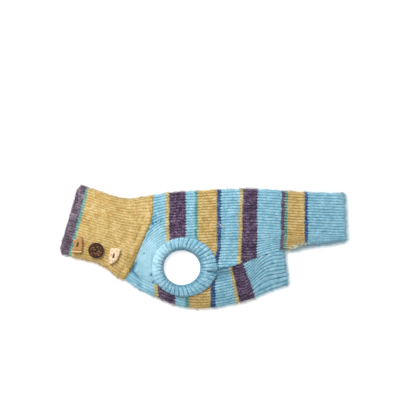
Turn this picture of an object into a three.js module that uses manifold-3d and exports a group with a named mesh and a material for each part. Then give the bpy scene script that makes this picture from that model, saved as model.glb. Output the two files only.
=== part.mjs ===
// A knitted dog sweater laid flat on its side: back panel, belly panel, collar,
// two leg cuffs and three decorative buttons. Millimetres, +Z up, z = 0 under it.
// X runs from the collar's open edge to the tail hem, Y from the belly to the spine.

import * as THREE from "three";
import { mergeVertices } from "three/addons/utils/BufferGeometryUtils.js";
import Module from "manifold-3d";

const wasm = await Module();
wasm.setup();

// Cloth: the far layer lies on the table, the near layer lies over it.
const FAR_WALL = 2.6;
const NEAR_WALL = 2.4;
const LAYER_GAP = 0.6;
const NEAR_INSIDE = FAR_WALL + LAYER_GAP;
const NEAR_OUTSIDE = NEAR_INSIDE + NEAR_WALL;
const RIB_PITCH = 3.6;
const RIB_RELIEF = 0.8;
const SEAM_GAP = 0.3;
const FOLD_ARC_STEPS = 3;
const CAVITY_STEPS = 10;
const HOLLOW_PAST_END = 1;

// Cutting outlines run this far past the folded edges, which they leave whole.
const PAST_CLOTH = 20;
const CUT_HEIGHT = 40;
const CUT_PIECES = 30;
const SAME_POINT = 1e-4;
const SLOPE_STEP = 1;

// Back panel: ribs run along the spine, fan out at the neck and lift at the tail.
const BACK_RIBS = 33;
const BACK_STATIONS = { from: -110, to: 194, count: 23 };
const FAN = { start: -48, length: 38, firstRib: 8, fullRib: 42, growth: 80 };
const TAIL_LIFT = { from: 60, to: 105, rise: 12, firstRib: 50, fullRib: 90 };
const SPINE = [
  { x: -64.6, y: 65.8 },
  { x: -44.9, y: 69.5 },
  { x: -7.7, y: 71.9 },
  { x: 35.2, y: 73.8 },
  { x: 70.3, y: 74.0 },
  { x: 132.7, y: 70.1 },
  { x: 182.0, y: 68.5 },
];

// Belly panel: its ribs follow the folded lower edge and sway up near the hem.
const BELLY_RIBS = 16;
const BELLY_STATIONS = { from: -118, to: 124, count: 18 };
const SWAY = { from: 54, crest: 77, to: 108, rise: 8, left: 3, firstRib: 12 };
const BELLY_FOLD = [
  { x: -100.6, y: -44.1 },
  { x: -79.4, y: -57.3 },
  { x: -55.5, y: -68.0 },
  { x: -34.3, y: -75.9 },
  { x: -13.0, y: -80.0 },
  { x: 13.5, y: -79.3 },
  { x: 45.4, y: -73.3 },
  { x: 66.6, y: -66.7 },
  { x: 93.1, y: -56.0 },
  { x: 110.4, y: -49.9 },
];

// Seam between the panels, from the collar through the leg opening to the hem.
const SIDE_SEAM = [
  { x: -93.1, y: -31.5 },
  { x: -63.6, y: -49.0 },
  { x: -24.0, y: -42.0 },
  { x: 17.7, y: -30.8 },
  { x: 49.5, y: -22.8 },
  { x: 69.0, y: -15.2 },
  { x: 104.0, y: -4.0 },
];
const BELLY_HEM = [
  { x: 104.4, y: -4.3 },
  { x: 107.6, y: -25.5 },
  { x: 111.1, y: -49.4 },
  { x: 113.0, y: -62.0 },
];
const TAIL_EDGE = [
  { x: 106.3, y: -4.2 },
  { x: 119.6, y: -4.0 },
  { x: 135.5, y: 1.0 },
  { x: 159.4, y: 3.6 },
  { x: 184.0, y: 7.6 },
];
const TAIL_HEM = [
  { x: 186.0, y: 9.5 },
  { x: 183.3, y: 67.3 },
  { x: 182.7, y: 80.0 },
];

// Collar: a tube of its own, knitted on at the neck line and open at the left.
const COLLAR_RIBS = 25;
const COLLAR_ROWS = { from: -0.1, to: 1.1, count: 13 };
const COLLAR_HOLLOW_PAST_END = 0.01;
const OPEN_EDGE_PAST_CORNER = 0.2;
const NECK_LINE = [
  { x: -64.6, y: 65.8 },
  { x: -64.8, y: 45.2 },
  { x: -67.6, y: 30.2 },
  { x: -74.8, y: 13.0 },
  { x: -86.7, y: -15.1 },
  { x: -93.1, y: -30.2 },
  { x: -101.4, y: -43.4 },
];
const COLLAR_TOP = [
  { x: -160.2, y: 80.3 },
  { x: -150.3, y: 76.6 },
  { x: -134.0, y: 70.6 },
  { x: -117.9, y: 64.7 },
  { x: -101.8, y: 61.5 },
  { x: -91.0, y: 61.5 },
  { x: -80.2, y: 63.6 },
  { x: -64.6, y: 65.8 },
];
const COLLAR_BOTTOM = [
  { x: -186.1, y: -9.0 },
  { x: -172.9, y: -11.8 },
  { x: -155.6, y: -16.6 },
  { x: -139.5, y: -20.4 },
  { x: -123.4, y: -29.1 },
  { x: -112.6, y: -38.7 },
  { x: -101.4, y: -43.4 },
];

// Leg opening: a ribbed cuff on each layer, round a hole that runs right through.
const CUFF = { x: -24.1, y: -26.3, across: 42.1, up: 38.2 };
const LEG_HOLE = { x: -26.8, y: -26.8, across: 23.9, up: 22.6 };
const CUFF_RIBS = 40;
const CUFF_RELIEF = 0.9;
const FAR_CUFF_SIDES = 48;
const HOLE_SIDES = 80;

// Across the cuff: share runs from its outer edge to the hole.
const NEAR_CUFF_PROFILE = [
  { share: 0.0, top: 6.6, under: 3.5 },
  { share: 0.12, top: 8.4, under: 5.2 },
  { share: 0.4, top: 9.4, under: 6.3 },
  { share: 0.72, top: 8.6, under: 5.5 },
  { share: 0.94, top: 6.6, under: 4.0 },
  { share: 1.0, top: 5.0, under: 3.5 },
];
const FAR_CUFF_PROFILE = [
  { share: 0.0, top: 2.6, under: 0.0 },
  { share: 0.85, top: 2.9, under: 0.0 },
  { share: 1.0, top: 2.1, under: 0.7 },
];

// Soft swells of the near layer: place, direction in degrees, reach and rise.
const SWELLS = [
  { name: "neck ridge", x: -80, y: 12, turn: 68, length: 46, width: 9, rise: 0.7 },
  { name: "collar bulge", x: -128, y: 26, turn: 70, length: 36, width: 16, rise: 0.8 },
  { name: "throat crease", x: -108, y: -22, turn: 40, length: 18, width: 7, rise: 0.7 },
  { name: "shoulder", x: -52, y: 28, turn: -20, length: 32, width: 18, rise: 0.6 },
  { name: "side seam ridge", x: 36, y: -24, turn: 14, length: 34, width: 6, rise: 1.0 },
  { name: "back", x: 42, y: 36, turn: 4, length: 60, width: 24, rise: 0.8 },
  { name: "tail", x: 146, y: 36, turn: 90, length: 26, width: 20, rise: 0.5 },
  { name: "belly", x: 10, y: -62, turn: 6, length: 48, width: 8, rise: 0.8 },
  { name: "belly hem", x: 88, y: -32, turn: 24, length: 20, width: 12, rise: 0.7 },
  { name: "chest", x: -78, y: -46, turn: -35, length: 22, width: 6, rise: 0.6 },
];

// Buttons lie on the collar's near side, with two thread holes each.
const THREAD_HOLE = 2.2;
const BUTTON_SIDES = 36;
const BUTTON_BEVEL = 0.5;
const HOLE_ARC_STEPS = 5;
const WOOD_BUTTON = {
  x: -162.7,
  y: 1.8,
  thick: 3.2,
  holes: [{ x: 0.9, y: 2.4 }, { x: -0.5, y: -1.3 }],
};
const WOOD_OUTLINE = [
  { x: 5.3, y: 10.8 },
  { x: 6.7, y: 1.8 },
  { x: 5.8, y: -8.0 },
  { x: 3.2, y: -10.8 },
  { x: -7.2, y: -9.5 },
  { x: -6.7, y: -5.6 },
  { x: -4.7, y: -0.4 },
  { x: -6.0, y: 3.4 },
  { x: -4.7, y: 6.6 },
  { x: 0.3, y: 8.9 },
];
const COCONUT_BUTTON = {
  x: -138.6,
  y: -5.2,
  thick: 3.4,
  holes: [{ x: 0.8, y: 2.0 }, { x: -0.8, y: -2.0 }],
};
const COCONUT_RADIUS = 10;
const HORN_BUTTON = {
  x: -114.8,
  y: -12.6,
  thick: 3.2,
  holes: [{ x: -0.2, y: 2.3 }, { x: -1.6, y: -1.6 }],
};
const HORN_OUTLINE = [
  { x: -1.9, y: 10.4 },
  { x: 3.1, y: 10.4 },
  { x: 7.0, y: 8.8 },
  { x: 7.5, y: 5.3 },
  { x: 4.0, y: -4.0 },
  { x: -0.1, y: -8.1 },
  { x: -4.8, y: -10.5 },
  { x: -7.4, y: -9.1 },
  { x: -7.4, y: -5.6 },
  { x: -5.8, y: 6.4 },
  { x: -4.4, y: 9.2 },
];

function ramp(value, from, to) {
  const t = THREE.MathUtils.clamp((value - from) / (to - from), 0, 1);
  return t * t * (3 - 2 * t);
}

function planPoints(rows) {
  return rows.map((row) => new THREE.Vector2(row.x, row.y));
}

// The smooth line through a table's rows, read as y at a given x.
function levelAt(rows, x) {
  const end = rows.length - 1;
  const slopeAt = (k) => {
    const before = rows[Math.max(k - 1, 0)];
    const after = rows[Math.min(k + 1, end)];
    return (after.y - before.y) / (after.x - before.x);
  };
  if (x <= rows[0].x) return rows[0].y + slopeAt(0) * (x - rows[0].x);
  if (x >= rows[end].x) return rows[end].y + slopeAt(end) * (x - rows[end].x);
  const k = rows.findIndex((row) => row.x >= x) - 1;
  const span = rows[k + 1].x - rows[k].x;
  const t = (x - rows[k].x) / span;
  const rise = rows[k + 1].y - rows[k].y;
  const curl = t * (1 - t) * span;
  const straight = rise / span;
  const bend = (slopeAt(k) - straight) * (1 - t) - (slopeAt(k + 1) - straight) * t;
  return rows[k].y + rise * t + curl * bend;
}

// How far the near layer swells up above its lowest lie at a point.
function swell(x, y) {
  let rise = 0;
  for (const fold of SWELLS) {
    const turn = THREE.MathUtils.degToRad(fold.turn);
    const dx = x - fold.x;
    const dy = y - fold.y;
    const along = (dx * Math.cos(turn) + dy * Math.sin(turn)) / fold.length;
    const over = (dy * Math.cos(turn) - dx * Math.sin(turn)) / fold.width;
    rise += fold.rise * Math.exp(-along * along - over * over);
  }
  return rise;
}

// Closed loop round two layers that lie on each other. place(s) gives the plan
// point at a distance s from their fold, which is a half round. Where the form
// has foldEnd they are folded at the other end too, and elsewhere they run on.
function layerLoop(place, width, form) {
  const { low, high, steps, relief, foldEnd } = form;
  const points = [];
  const face = [];
  const put = (s, z) => {
    const at = place(s);
    points.push(new THREE.Vector3(at.x, at.y, z));
    face.push(new THREE.Vector2(s, z));
  };
  const topAt = (s) => high + swell(place(s).x, place(s).y);
  const radiusAt = (s) => (topAt(s) - low) / 2;
  const startRound = radiusAt(0);
  const endRound = foldEnd ? radiusAt(width) : 0;
  const span = width - startRound - endRound;

  for (let k = 0; k < FOLD_ARC_STEPS; k += 1) {
    const angle = (Math.PI / 2) * (k / FOLD_ARC_STEPS);
    put(startRound * (1 - Math.cos(angle)), low + startRound * (1 + Math.sin(angle)));
  }
  for (let k = 0; k <= steps; k += 1) {
    const s = startRound + (span * k) / steps;
    put(s, topAt(s) + (k % 2) * relief);
  }
  if (foldEnd) {
    for (let k = 1; k < 2 * FOLD_ARC_STEPS; k += 1) {
      const angle = (Math.PI / 2) * (1 - k / FOLD_ARC_STEPS);
      put(width - endRound * (1 - Math.cos(angle)), low + endRound * (1 + Math.sin(angle)));
    }
  }
  put(width - endRound, low);
  put(startRound, low);
  for (let k = 1; k < FOLD_ARC_STEPS; k += 1) {
    const angle = (-Math.PI / 2) * (1 - k / FOLD_ARC_STEPS);
    put(startRound * (1 - Math.cos(angle)), low + startRound * (1 + Math.sin(angle)));
  }
  return { points, face };
}

function meshData(vertices, triangles) {
  const geometry = new THREE.BufferGeometry();
  geometry.setAttribute("position", new THREE.Float32BufferAttribute(vertices, 3));
  geometry.setIndex(triangles);
  return geometry;
}

function solidOf(geometry) {
  const bare = geometry.clone();
  bare.deleteAttribute("normal");
  bare.deleteAttribute("uv");
  const merged = mergeVertices(bare, SAME_POINT);
  const vertProperties = new Float32Array(merged.attributes.position.array);
  const triVerts = new Uint32Array(merged.index.array);
  return new wasm.Manifold(new wasm.Mesh({ numProp: 3, vertProperties, triVerts }));
}

function geometryOf(solid) {
  const { numProp, vertProperties, triVerts } = solid.getMesh();
  const vertices = [];
  for (let k = 0; k < vertProperties.length; k += numProp) {
    vertices.push(vertProperties[k], vertProperties[k + 1], vertProperties[k + 2]);
  }
  return meshData(vertices, Array.from(triVerts));
}

// Faces point out where the signed volume is above zero.
function facingOut(vertices, triangles) {
  const corner = (k) => new THREE.Vector3().fromArray(vertices, 3 * triangles[k]);
  let volume = 0;
  for (let k = 0; k < triangles.length; k += 3) {
    volume += corner(k).dot(corner(k + 1).cross(corner(k + 2)));
  }
  return volume > 0 ? triangles : [...triangles].reverse();
}

// Triangles over a loop's face, wound the way the loop runs.
function capOf(face, first) {
  const triangles = THREE.ShapeUtils.triangulateShape(face, []).flat();
  const wound = THREE.ShapeUtils.isClockWise(face) ? triangles.reverse() : triangles;
  return wound.map((k) => first + k);
}

// Skin over a row of loops. Open rows get a cap at each end; closed rows meet.
function skinned(loops, closed) {
  const count = loops[0].points.length;
  const vertices = loops.flatMap((loop) => loop.points.flatMap((p) => p.toArray()));
  const triangles = [];
  const last = closed ? loops.length : loops.length - 1;
  for (let i = 0; i < last; i += 1) {
    const here = i * count;
    const next = ((i + 1) % loops.length) * count;
    for (let j = 0; j < count; j += 1) {
      const k = (j + 1) % count;
      triangles.push(here + j, next + j, next + k, here + j, next + k, here + k);
    }
  }
  if (!closed) {
    const end = (loops.length - 1) * count;
    triangles.push(...capOf(loops[0].face, 0));
    triangles.push(...capOf(loops.at(-1).face, end).reverse());
  }
  return { vertices, triangles };
}

function skinSolid(loops, closed = false) {
  const { vertices, triangles } = skinned(loops, closed);
  return solidOf(meshData(vertices, facingOut(vertices, triangles)));
}

// A wall folded over: the outer form less the flat hollow between the layers,
// which runs past both ends of the outer form.
function foldedWall(row, { outer, inner }, stations, past) {
  const out = stations.map((at) => row(at, outer, 0));
  const last = stations.length - 1;
  const longer = [stations[0] - past, ...stations.slice(1, last), stations[last] + past];
  const hollow = longer.map((at) => row(at, inner, NEAR_WALL));
  return skinSolid(out).subtract(skinSolid(hollow));
}

// A plan outline made solid over the garment's whole height.
function prism(outline) {
  const shape = new THREE.Shape(outline);
  const geometry = new THREE.ExtrudeGeometry(shape, { depth: CUT_HEIGHT, bevelEnabled: false });
  return solidOf(geometry.translate(0, 0, -CUT_HEIGHT / 2));
}

function ellipse(form, grow, sides) {
  const outline = [];
  for (let k = 0; k < sides; k += 1) {
    outline.push(ellipsePoint(form, grow, (2 * Math.PI * k) / sides));
  }
  return outline;
}

function ellipsePoint(form, grow, angle) {
  const x = form.x + (form.across + grow) * Math.cos(angle);
  const y = form.y + (form.up + grow) * Math.sin(angle);
  return new THREE.Vector2(x, y);
}

// The smooth line through a table's rows, moved sideways to its left.
function movedLine(rows, sideways) {
  const curve = new THREE.SplineCurve(planPoints(rows));
  const line = [];
  for (let k = 0; k <= CUT_PIECES; k += 1) {
    const along = curve.getTangentAt(k / CUT_PIECES);
    const left = new THREE.Vector2(-along.y, along.x);
    line.push(curve.getPointAt(k / CUT_PIECES).addScaledVector(left, sideways));
  }
  return line;
}

function stationsOf({ from, to, count }) {
  return Array.from({ length: count }, (_, k) => from + ((to - from) * k) / (count - 1));
}

// Plan place on the back panel, a distance s below the spine.
function backPlace(x, s) {
  const reach = Math.max(0, FAN.start - x);
  const fanned = ramp(s, FAN.firstRib, FAN.fullRib) * (1 + s / FAN.growth);
  const drop = fanned * (reach * reach) / (2 * FAN.length);
  const pulled = ramp(s, TAIL_LIFT.firstRib, TAIL_LIFT.fullRib) * TAIL_LIFT.rise;
  const lift = pulled * ramp(x, TAIL_LIFT.from, TAIL_LIFT.to);
  return { x, y: levelAt(SPINE, x) - s - drop + lift };
}

// Plan place on the belly panel, a distance s inward from its folded edge.
function bellyPlace(x, s) {
  const before = levelAt(BELLY_FOLD, x - SLOPE_STEP);
  const slope = (levelAt(BELLY_FOLD, x + SLOPE_STEP) - before) / (2 * SLOPE_STEP);
  const size = Math.hypot(slope, 1);
  const up = SWAY.rise * ramp(x, SWAY.from, SWAY.crest);
  const down = (SWAY.rise - SWAY.left) * ramp(x, SWAY.crest, SWAY.to);
  const sway = (up - down) * ramp(s, 0, SWAY.firstRib);
  return { x: x - (slope / size) * s, y: levelAt(BELLY_FOLD, x) + s / size + sway };
}

// Plan place on the collar: u from the open edge to the neck line, v from the
// top fold to the bottom fold, blended from the four edges.
function collarPlace(edges, u, v) {
  const inside = THREE.MathUtils.clamp(u, 0, 1);
  const open = edges.open.getPointAt(v);
  const neck = edges.neck.getPointAt(v);
  const top = edges.top.getPointAt(inside);
  const bottom = edges.bottom.getPointAt(inside);
  const corner = (name, end) => edges[name].getPointAt(end);
  const blend = (axis) => {
    const across = (1 - inside) * open[axis] + inside * neck[axis];
    const along = (1 - v) * top[axis] + v * bottom[axis];
    const upper = (1 - inside) * corner("top", 0)[axis] + inside * corner("top", 1)[axis];
    const lower = (1 - inside) * corner("bottom", 0)[axis] + inside * corner("bottom", 1)[axis];
    const past = (u - inside) * (neck[axis] - open[axis]);
    return across + along - (1 - v) * upper - v * lower + past;
  };
  return { x: blend("x"), y: blend("y") };
}

function panelForms(ribs, foldEnd) {
  const outer = { low: 0, high: NEAR_OUTSIDE, steps: 2 * ribs, relief: RIB_RELIEF, foldEnd };
  const inner = { low: FAR_WALL, high: NEAR_INSIDE, steps: CAVITY_STEPS, relief: 0, foldEnd };
  return { outer, inner };
}

// Both layers of a body panel, folded at s = 0 and running on past its seam.
function bodyPanel(place, ribs, stations, outline) {
  const width = ribs * RIB_PITCH;
  const row = (x, form, inset) => layerLoop((s) => place(x, s + inset), width, form);
  const wall = foldedWall(row, panelForms(ribs, false), stations, HOLLOW_PAST_END);
  const legHole = prism(ellipse(CUFF, SEAM_GAP, HOLE_SIDES));
  return wall.intersect(prism(outline)).subtract(legHole);
}

function backPanel() {
  const neck = movedLine(NECK_LINE, SEAM_GAP).filter((p) => p.y > SIDE_SEAM[0].y);
  const aboveNeck = new THREE.Vector2(neck[0].x, neck[0].y + PAST_CLOTH);
  const seam = movedLine(SIDE_SEAM, SEAM_GAP / 2);
  const edge = planPoints([...TAIL_EDGE, ...TAIL_HEM]);
  const outline = [aboveNeck, ...neck, ...seam, ...edge];
  return bodyPanel(backPlace, BACK_RIBS, stationsOf(BACK_STATIONS), outline);
}

function bellyPanel() {
  const neck = movedLine(NECK_LINE, SEAM_GAP).filter((p) => p.y < SIDE_SEAM[0].y);
  const lowest = Math.min(...BELLY_FOLD.map((row) => row.y)) - PAST_CLOTH;
  const pastNeck = neck.at(-1).x - PAST_CLOTH / 2;
  const pastHem = BELLY_HEM.at(-1).x;
  const below = planPoints([
    { x: pastNeck, y: neck.at(-1).y - PAST_CLOTH / 2 },
    { x: pastNeck, y: lowest },
    { x: pastHem, y: lowest },
  ]);
  const seam = movedLine(SIDE_SEAM, -SEAM_GAP / 2).reverse();
  const hem = planPoints(BELLY_HEM).reverse();
  const outline = [...neck, ...below, ...hem, ...seam];
  return bodyPanel(bellyPlace, BELLY_RIBS, stationsOf(BELLY_STATIONS), outline);
}

function collar() {
  const line = (rows) => new THREE.SplineCurve(planPoints(rows));
  const edges = {
    open: line([COLLAR_TOP[0], COLLAR_BOTTOM[0]]),
    neck: line(NECK_LINE),
    top: line(COLLAR_TOP),
    bottom: line(COLLAR_BOTTOM),
  };
  const widthAt = (u) => {
    const a = collarPlace(edges, u, 0);
    const b = collarPlace(edges, u, 1);
    return Math.hypot(a.x - b.x, a.y - b.y);
  };
  const row = (u, form, inset) => {
    const width = widthAt(u);
    const place = (s) => collarPlace(edges, u, (s + inset) / width);
    return layerLoop(place, width - 2 * inset, form);
  };
  const rows = stationsOf(COLLAR_ROWS);
  const forms = panelForms(COLLAR_RIBS, true);
  const wall = foldedWall(row, forms, rows, COLLAR_HOLLOW_PAST_END);
  const neck = movedLine(NECK_LINE, 0);
  const outline = [
    new THREE.Vector2(neck[0].x, COLLAR_TOP[0].y + PAST_CLOTH),
    edges.open.getPoint(0).lerp(edges.open.getPoint(1), -OPEN_EDGE_PAST_CORNER),
    edges.open.getPoint(1).lerp(edges.open.getPoint(0), -OPEN_EDGE_PAST_CORNER),
    new THREE.Vector2(neck.at(-1).x, neck.at(-1).y - PAST_CLOTH),
    ...neck.reverse(),
  ];
  return wall.intersect(prism(outline));
}

// A ring of profiles round the leg opening, each the same closed outline.
function cuff(profile, sides, relief) {
  const loops = [];
  for (let k = 0; k < sides; k += 1) {
    const angle = (2 * Math.PI * k) / sides;
    const outer = ellipsePoint(CUFF, 0, angle);
    const hole = ellipsePoint(LEG_HOLE, 0, angle);
    const at = (share, z) => {
      const plan = outer.clone().lerp(hole, share);
      return new THREE.Vector3(plan.x, plan.y, z);
    };
    const raised = (share) => (k % 2) * relief * Math.sqrt(Math.sin(Math.PI * share));
    const over = profile.map((row) => at(row.share, row.top + raised(row.share)));
    const under = profile.map((row) => at(row.share, row.under)).reverse();
    loops.push({ points: [...over, ...under] });
  }
  return skinSolid(loops, true);
}

// Lowest height at which a flat button clears the collar's ribs below it.
function buttonSeat(button, outline) {
  const lifts = outline.map((p) => swell(button.x + p.x, button.y + p.y));
  const highest = Math.max(swell(button.x, button.y), ...lifts);
  return NEAR_OUTSIDE + RIB_RELIEF + highest + SEAM_GAP;
}

function buttonSolid(button, outline) {
  const shape = new THREE.Shape(outline);
  for (const hole of button.holes) {
    const path = new THREE.Path();
    path.absarc(hole.x, hole.y, THREAD_HOLE / 2 + BUTTON_BEVEL / 2, 0, 2 * Math.PI, true);
    shape.holes.push(path);
  }
  const geometry = new THREE.ExtrudeGeometry(shape, {
    depth: button.thick - 2 * BUTTON_BEVEL,
    bevelThickness: BUTTON_BEVEL,
    bevelSize: BUTTON_BEVEL,
    bevelOffset: -BUTTON_BEVEL,
    bevelSegments: 1,
    curveSegments: HOLE_ARC_STEPS,
  });
  geometry.translate(button.x, button.y, buttonSeat(button, outline) + BUTTON_BEVEL);
  return solidOf(geometry);
}

// A smooth closed outline through a clockwise table, turned counter-clockwise.
function smoothOutline(rows) {
  const curve = new THREE.SplineCurve(planPoints([...rows, rows[0]]));
  return curve.getPoints(BUTTON_SIDES).slice(1).reverse();
}

function roundOutline(radius) {
  return ellipse({ x: 0, y: 0, across: radius, up: radius }, 0, BUTTON_SIDES);
}

const garment = new THREE.Group();

function add(name, solid, color, roughness) {
  const material = new THREE.MeshStandardMaterial({ color, roughness, metalness: 0 });
  const mesh = new THREE.Mesh(geometryOf(solid), material);
  mesh.name = name;
  garment.add(mesh);
}

add("back_panel", backPanel(), "#8fc6de", 0.95);
add("belly_panel", bellyPanel(), "#7fbad6", 0.95);
add("collar", collar(), "#d9b562", 0.95);
add("leg_cuff_near", cuff(NEAR_CUFF_PROFILE, 2 * CUFF_RIBS, CUFF_RELIEF), "#a5d3e6", 0.95);
add("leg_cuff_far", cuff(FAR_CUFF_PROFILE, FAR_CUFF_SIDES, 0), "#a5d3e6", 0.95);
add("button_wood", buttonSolid(WOOD_BUTTON, smoothOutline(WOOD_OUTLINE)), "#c88d4e", 0.6);
add("button_coconut", buttonSolid(COCONUT_BUTTON, roundOutline(COCONUT_RADIUS)), "#3b241c", 0.7);
add("button_horn", buttonSolid(HORN_BUTTON, smoothOutline(HORN_OUTLINE)), "#f0dcc0", 0.5);

export default garment;
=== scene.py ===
# Hand-knitted dog sweater, brushed mohair and wool, laid flat on its side and seen from straight above.
# Sizes are in millimetres until a mesh is written; X runs to the tail hem, Y to the spine, Z up.
import math
from functools import partial

import bpy
import numpy as np
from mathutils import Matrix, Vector
from mathutils.geometry import delaunay_2d_cdt


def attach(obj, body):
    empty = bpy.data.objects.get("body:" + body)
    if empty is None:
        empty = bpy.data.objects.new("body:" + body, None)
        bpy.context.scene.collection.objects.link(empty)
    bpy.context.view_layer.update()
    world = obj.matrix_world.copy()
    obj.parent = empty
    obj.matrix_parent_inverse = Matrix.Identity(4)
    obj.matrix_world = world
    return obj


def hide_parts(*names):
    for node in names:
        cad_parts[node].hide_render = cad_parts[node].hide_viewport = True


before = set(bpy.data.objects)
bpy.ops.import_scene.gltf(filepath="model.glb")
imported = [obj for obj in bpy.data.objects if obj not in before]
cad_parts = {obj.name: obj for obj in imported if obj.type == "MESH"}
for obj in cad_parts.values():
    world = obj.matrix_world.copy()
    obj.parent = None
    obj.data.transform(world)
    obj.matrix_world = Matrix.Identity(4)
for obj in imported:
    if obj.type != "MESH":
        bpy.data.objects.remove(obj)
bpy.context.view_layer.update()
mm = 0.001

# Knit sizes shared by every panel.
knit = {
    "walePitch": 3.6,        # one rib of the fabric
    "rowPitch": 2.5,         # one row of stitches along a rib
    "nearSamples": 7,        # grid lines in a wale on the side that shows
    "farSamples": 2,         # the same on the side that lies down
    "courseSamples": 4,      # grid lines in a row of stitches
    "relief": 1.35,          # crest of a stitch above the gap beside it
    "slant": 0.8,            # how far a stitch leg runs back, in rows
    "nearLow": 5.1,          # height of the near layer's gaps
    "farLow": 1.5,           # height of the far layer's gaps, its crests reach the table
    "nearWall": 2.1,
    "farWall": 1.5,
    "leastWall": 0.4,        # where a trough leaves less room than the near wall
    "layerGap": 0.1,
    "foldDrop": 1.0,         # the near layer sinks by this much towards a fold
    "foldSoft": 16.0,        # and over this width
    "foldInset": 0.9,        # the folded edge's gaps lie this far inside the outline
    "wobbleAlong": (0.22, 2.3, 11),    # uneven hand knitting: mm, size in stitches, seed
    "wobbleAcross": (0.30, 3.1, 12),
    "pitDepth": 1.0,         # of an eyelet below the gaps
}
knit["foldRadius"] = (knit["nearLow"] - knit["farLow"]) / 2

# Outlines, the same rows as the solids were made from.
spine = np.array([(-64.6, 65.8), (-44.9, 69.5), (-7.7, 71.9), (35.2, 73.8), (70.3, 74.0), (132.7, 70.1),
                  (182.0, 68.5)])
bellyFold = np.array([(-100.6, -44.1), (-79.4, -57.3), (-55.5, -68.0), (-34.3, -75.9), (-13.0, -80.0),
                      (13.5, -79.3), (45.4, -73.3), (66.6, -66.7), (93.1, -56.0), (110.4, -49.9)])
sideSeam = np.array([(-93.1, -31.5), (-63.6, -49.0), (-24.0, -42.0), (17.7, -30.8), (49.5, -22.8),
                     (69.0, -15.2), (104.0, -4.0)])
bellyHem = np.array([(104.4, -4.3), (107.6, -25.5), (110.3, -45.0), (109.2, -49.6), (106.0, -53.0), (104.0, -62.0)])
tailEdge = np.array([(106.3, -4.2), (119.6, -4.0), (135.5, 1.0), (159.4, 3.6), (184.0, 7.6)])
tailHem = np.array([(186.0, 9.5), (183.6, 62.0), (182.4, 66.2), (179.6, 69.2), (178.0, 80.0)])
neckLine = np.array([(-64.6, 65.8), (-64.8, 45.2), (-67.6, 30.2), (-74.8, 13.0), (-86.7, -15.1),
                     (-93.1, -30.2), (-101.4, -43.4)])
collarTop = np.array([(-160.2, 80.3), (-150.3, 76.6), (-134.0, 70.6), (-117.9, 64.7), (-101.8, 61.5),
                      (-91.0, 61.5), (-80.2, 63.6), (-64.6, 65.8)])
collarBottom = np.array([(-186.1, -9.0), (-172.9, -11.8), (-155.6, -16.6), (-139.5, -20.4), (-123.4, -29.1),
                         (-112.6, -38.7), (-101.4, -43.4)])
cuffRing = {"x": -24.1, "y": -26.9, "across": 42.1, "up": 38.2}
legHole = {"x": -27.5, "y": -27.7, "across": 23.9, "up": 22.6}

# Soft swells of the near layer: x, y, direction in degrees, length, width, rise.
swells = np.array([
    (-80, 12, 68, 46, 9, 0.7),
    (-128, 26, 70, 36, 16, 0.8),
    (-108, -22, 40, 18, 7, 0.7),
    (-52, 28, -20, 32, 18, 0.6),
    (36, -24, 14, 34, 6, 1.0),
    (42, 36, 4, 60, 24, 0.8),
    (146, 36, 90, 26, 20, 0.5),
    (10, -62, 6, 48, 8, 0.8),
    (88, -32, 24, 20, 12, 0.7),
    (-78, -46, -35, 22, 6, 0.6),
    (30, -38, 6, 24, 5.5, -2.2),      # crease that runs on from the cuff below the side seam
    (34, -27, 8, 24, 4.5, 1.3),
    (66, -19, 20, 16, 4, -0.9),
    (-113, -29, -40, 14, 4, -0.9),    # two soft folds at the throat of the collar
    (-103, -19, -52, 15, 5, 0.8),
    (-90, -29, 60, 10, 3.5, -1.4),
    (-150, 34, -76, 40, 6, -0.5),     # dip behind the open edge of the collar
])

# Small holes where stitches were picked up or pulled open: x, y, radius.
eyelets = np.array([(-65.2, 29.4, 1.9), (-60.6, 31.2, 1.0), (-76.4, -9.4, 1.0), (-86.2, -23.7, 1.5),
                    (-67.0, -37.4, 1.8), (-69.6, 22.0, 1.2), (-54.6, 32.8, 0.9), (-64.5, -46.6, 1.2)])

# The soft patch beside the cuff, where the mohair is brushed up: calm says how far it hides the ribs, and level
# the height they even out to.
brushedPatch = {"x": -68.0, "y": -14.0, "reachX": 30.0, "reachY": 40.0, "calm": 0.42,
                "level": 0.42}

# Painted shade in the creases, along the seams and in the corners: places where the yarn takes its deep colour, in
# rows as the swells.
creaseShade = np.array([
    (25, -28.6, 13, 17, 1.5, 0.85),   # along the side seam beside the cuff
    (17, -34.5, 8, 11, 4.0, 0.4),
    (22, -42, 10, 8, 4.0, 0.3),
    (-91.0, -28.0, 64, 9, 2.6, 1.0),  # the corner where seam and neck meet, and two ribs that run from it
    (-88.0, -36, -46, 9, 2.0, 0.75),
    (-83, -49, -48, 7, 1.8, 0.5),
    (-66, -20, 85, 10, 2.0, 0.22),
    (-72, 12, 62, 14, 1.2, 0.3),      # the first rows beside the neck
    (-65.5, 34, 82, 12, 1.6, 0.4),
    (-90, -12, 64, 18, 3.4, 0.6),     # the collar where it turns down to the neck
    (-71, 22, 66, 18, 2.0, 0.3),
    (-104, -38, -30, 12, 3.0, 0.4),
])


# ramp = 3t^2 - 2t^3 with t from 0 at low to 1 at high
def ramp(value, low, high):
    t = np.clip((value - low) / (high - low), 0, 1)
    return t * t * (3 - 2 * t)


# bell = exp(-((value - at)/reach)^2)
def bell(value, at, reach):
    return np.exp(-((value - at) / reach)**2)


# Vectors of length 1
def unit(vectors):
    return vectors / np.linalg.norm(vectors, axis=-1)[..., None]


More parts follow.
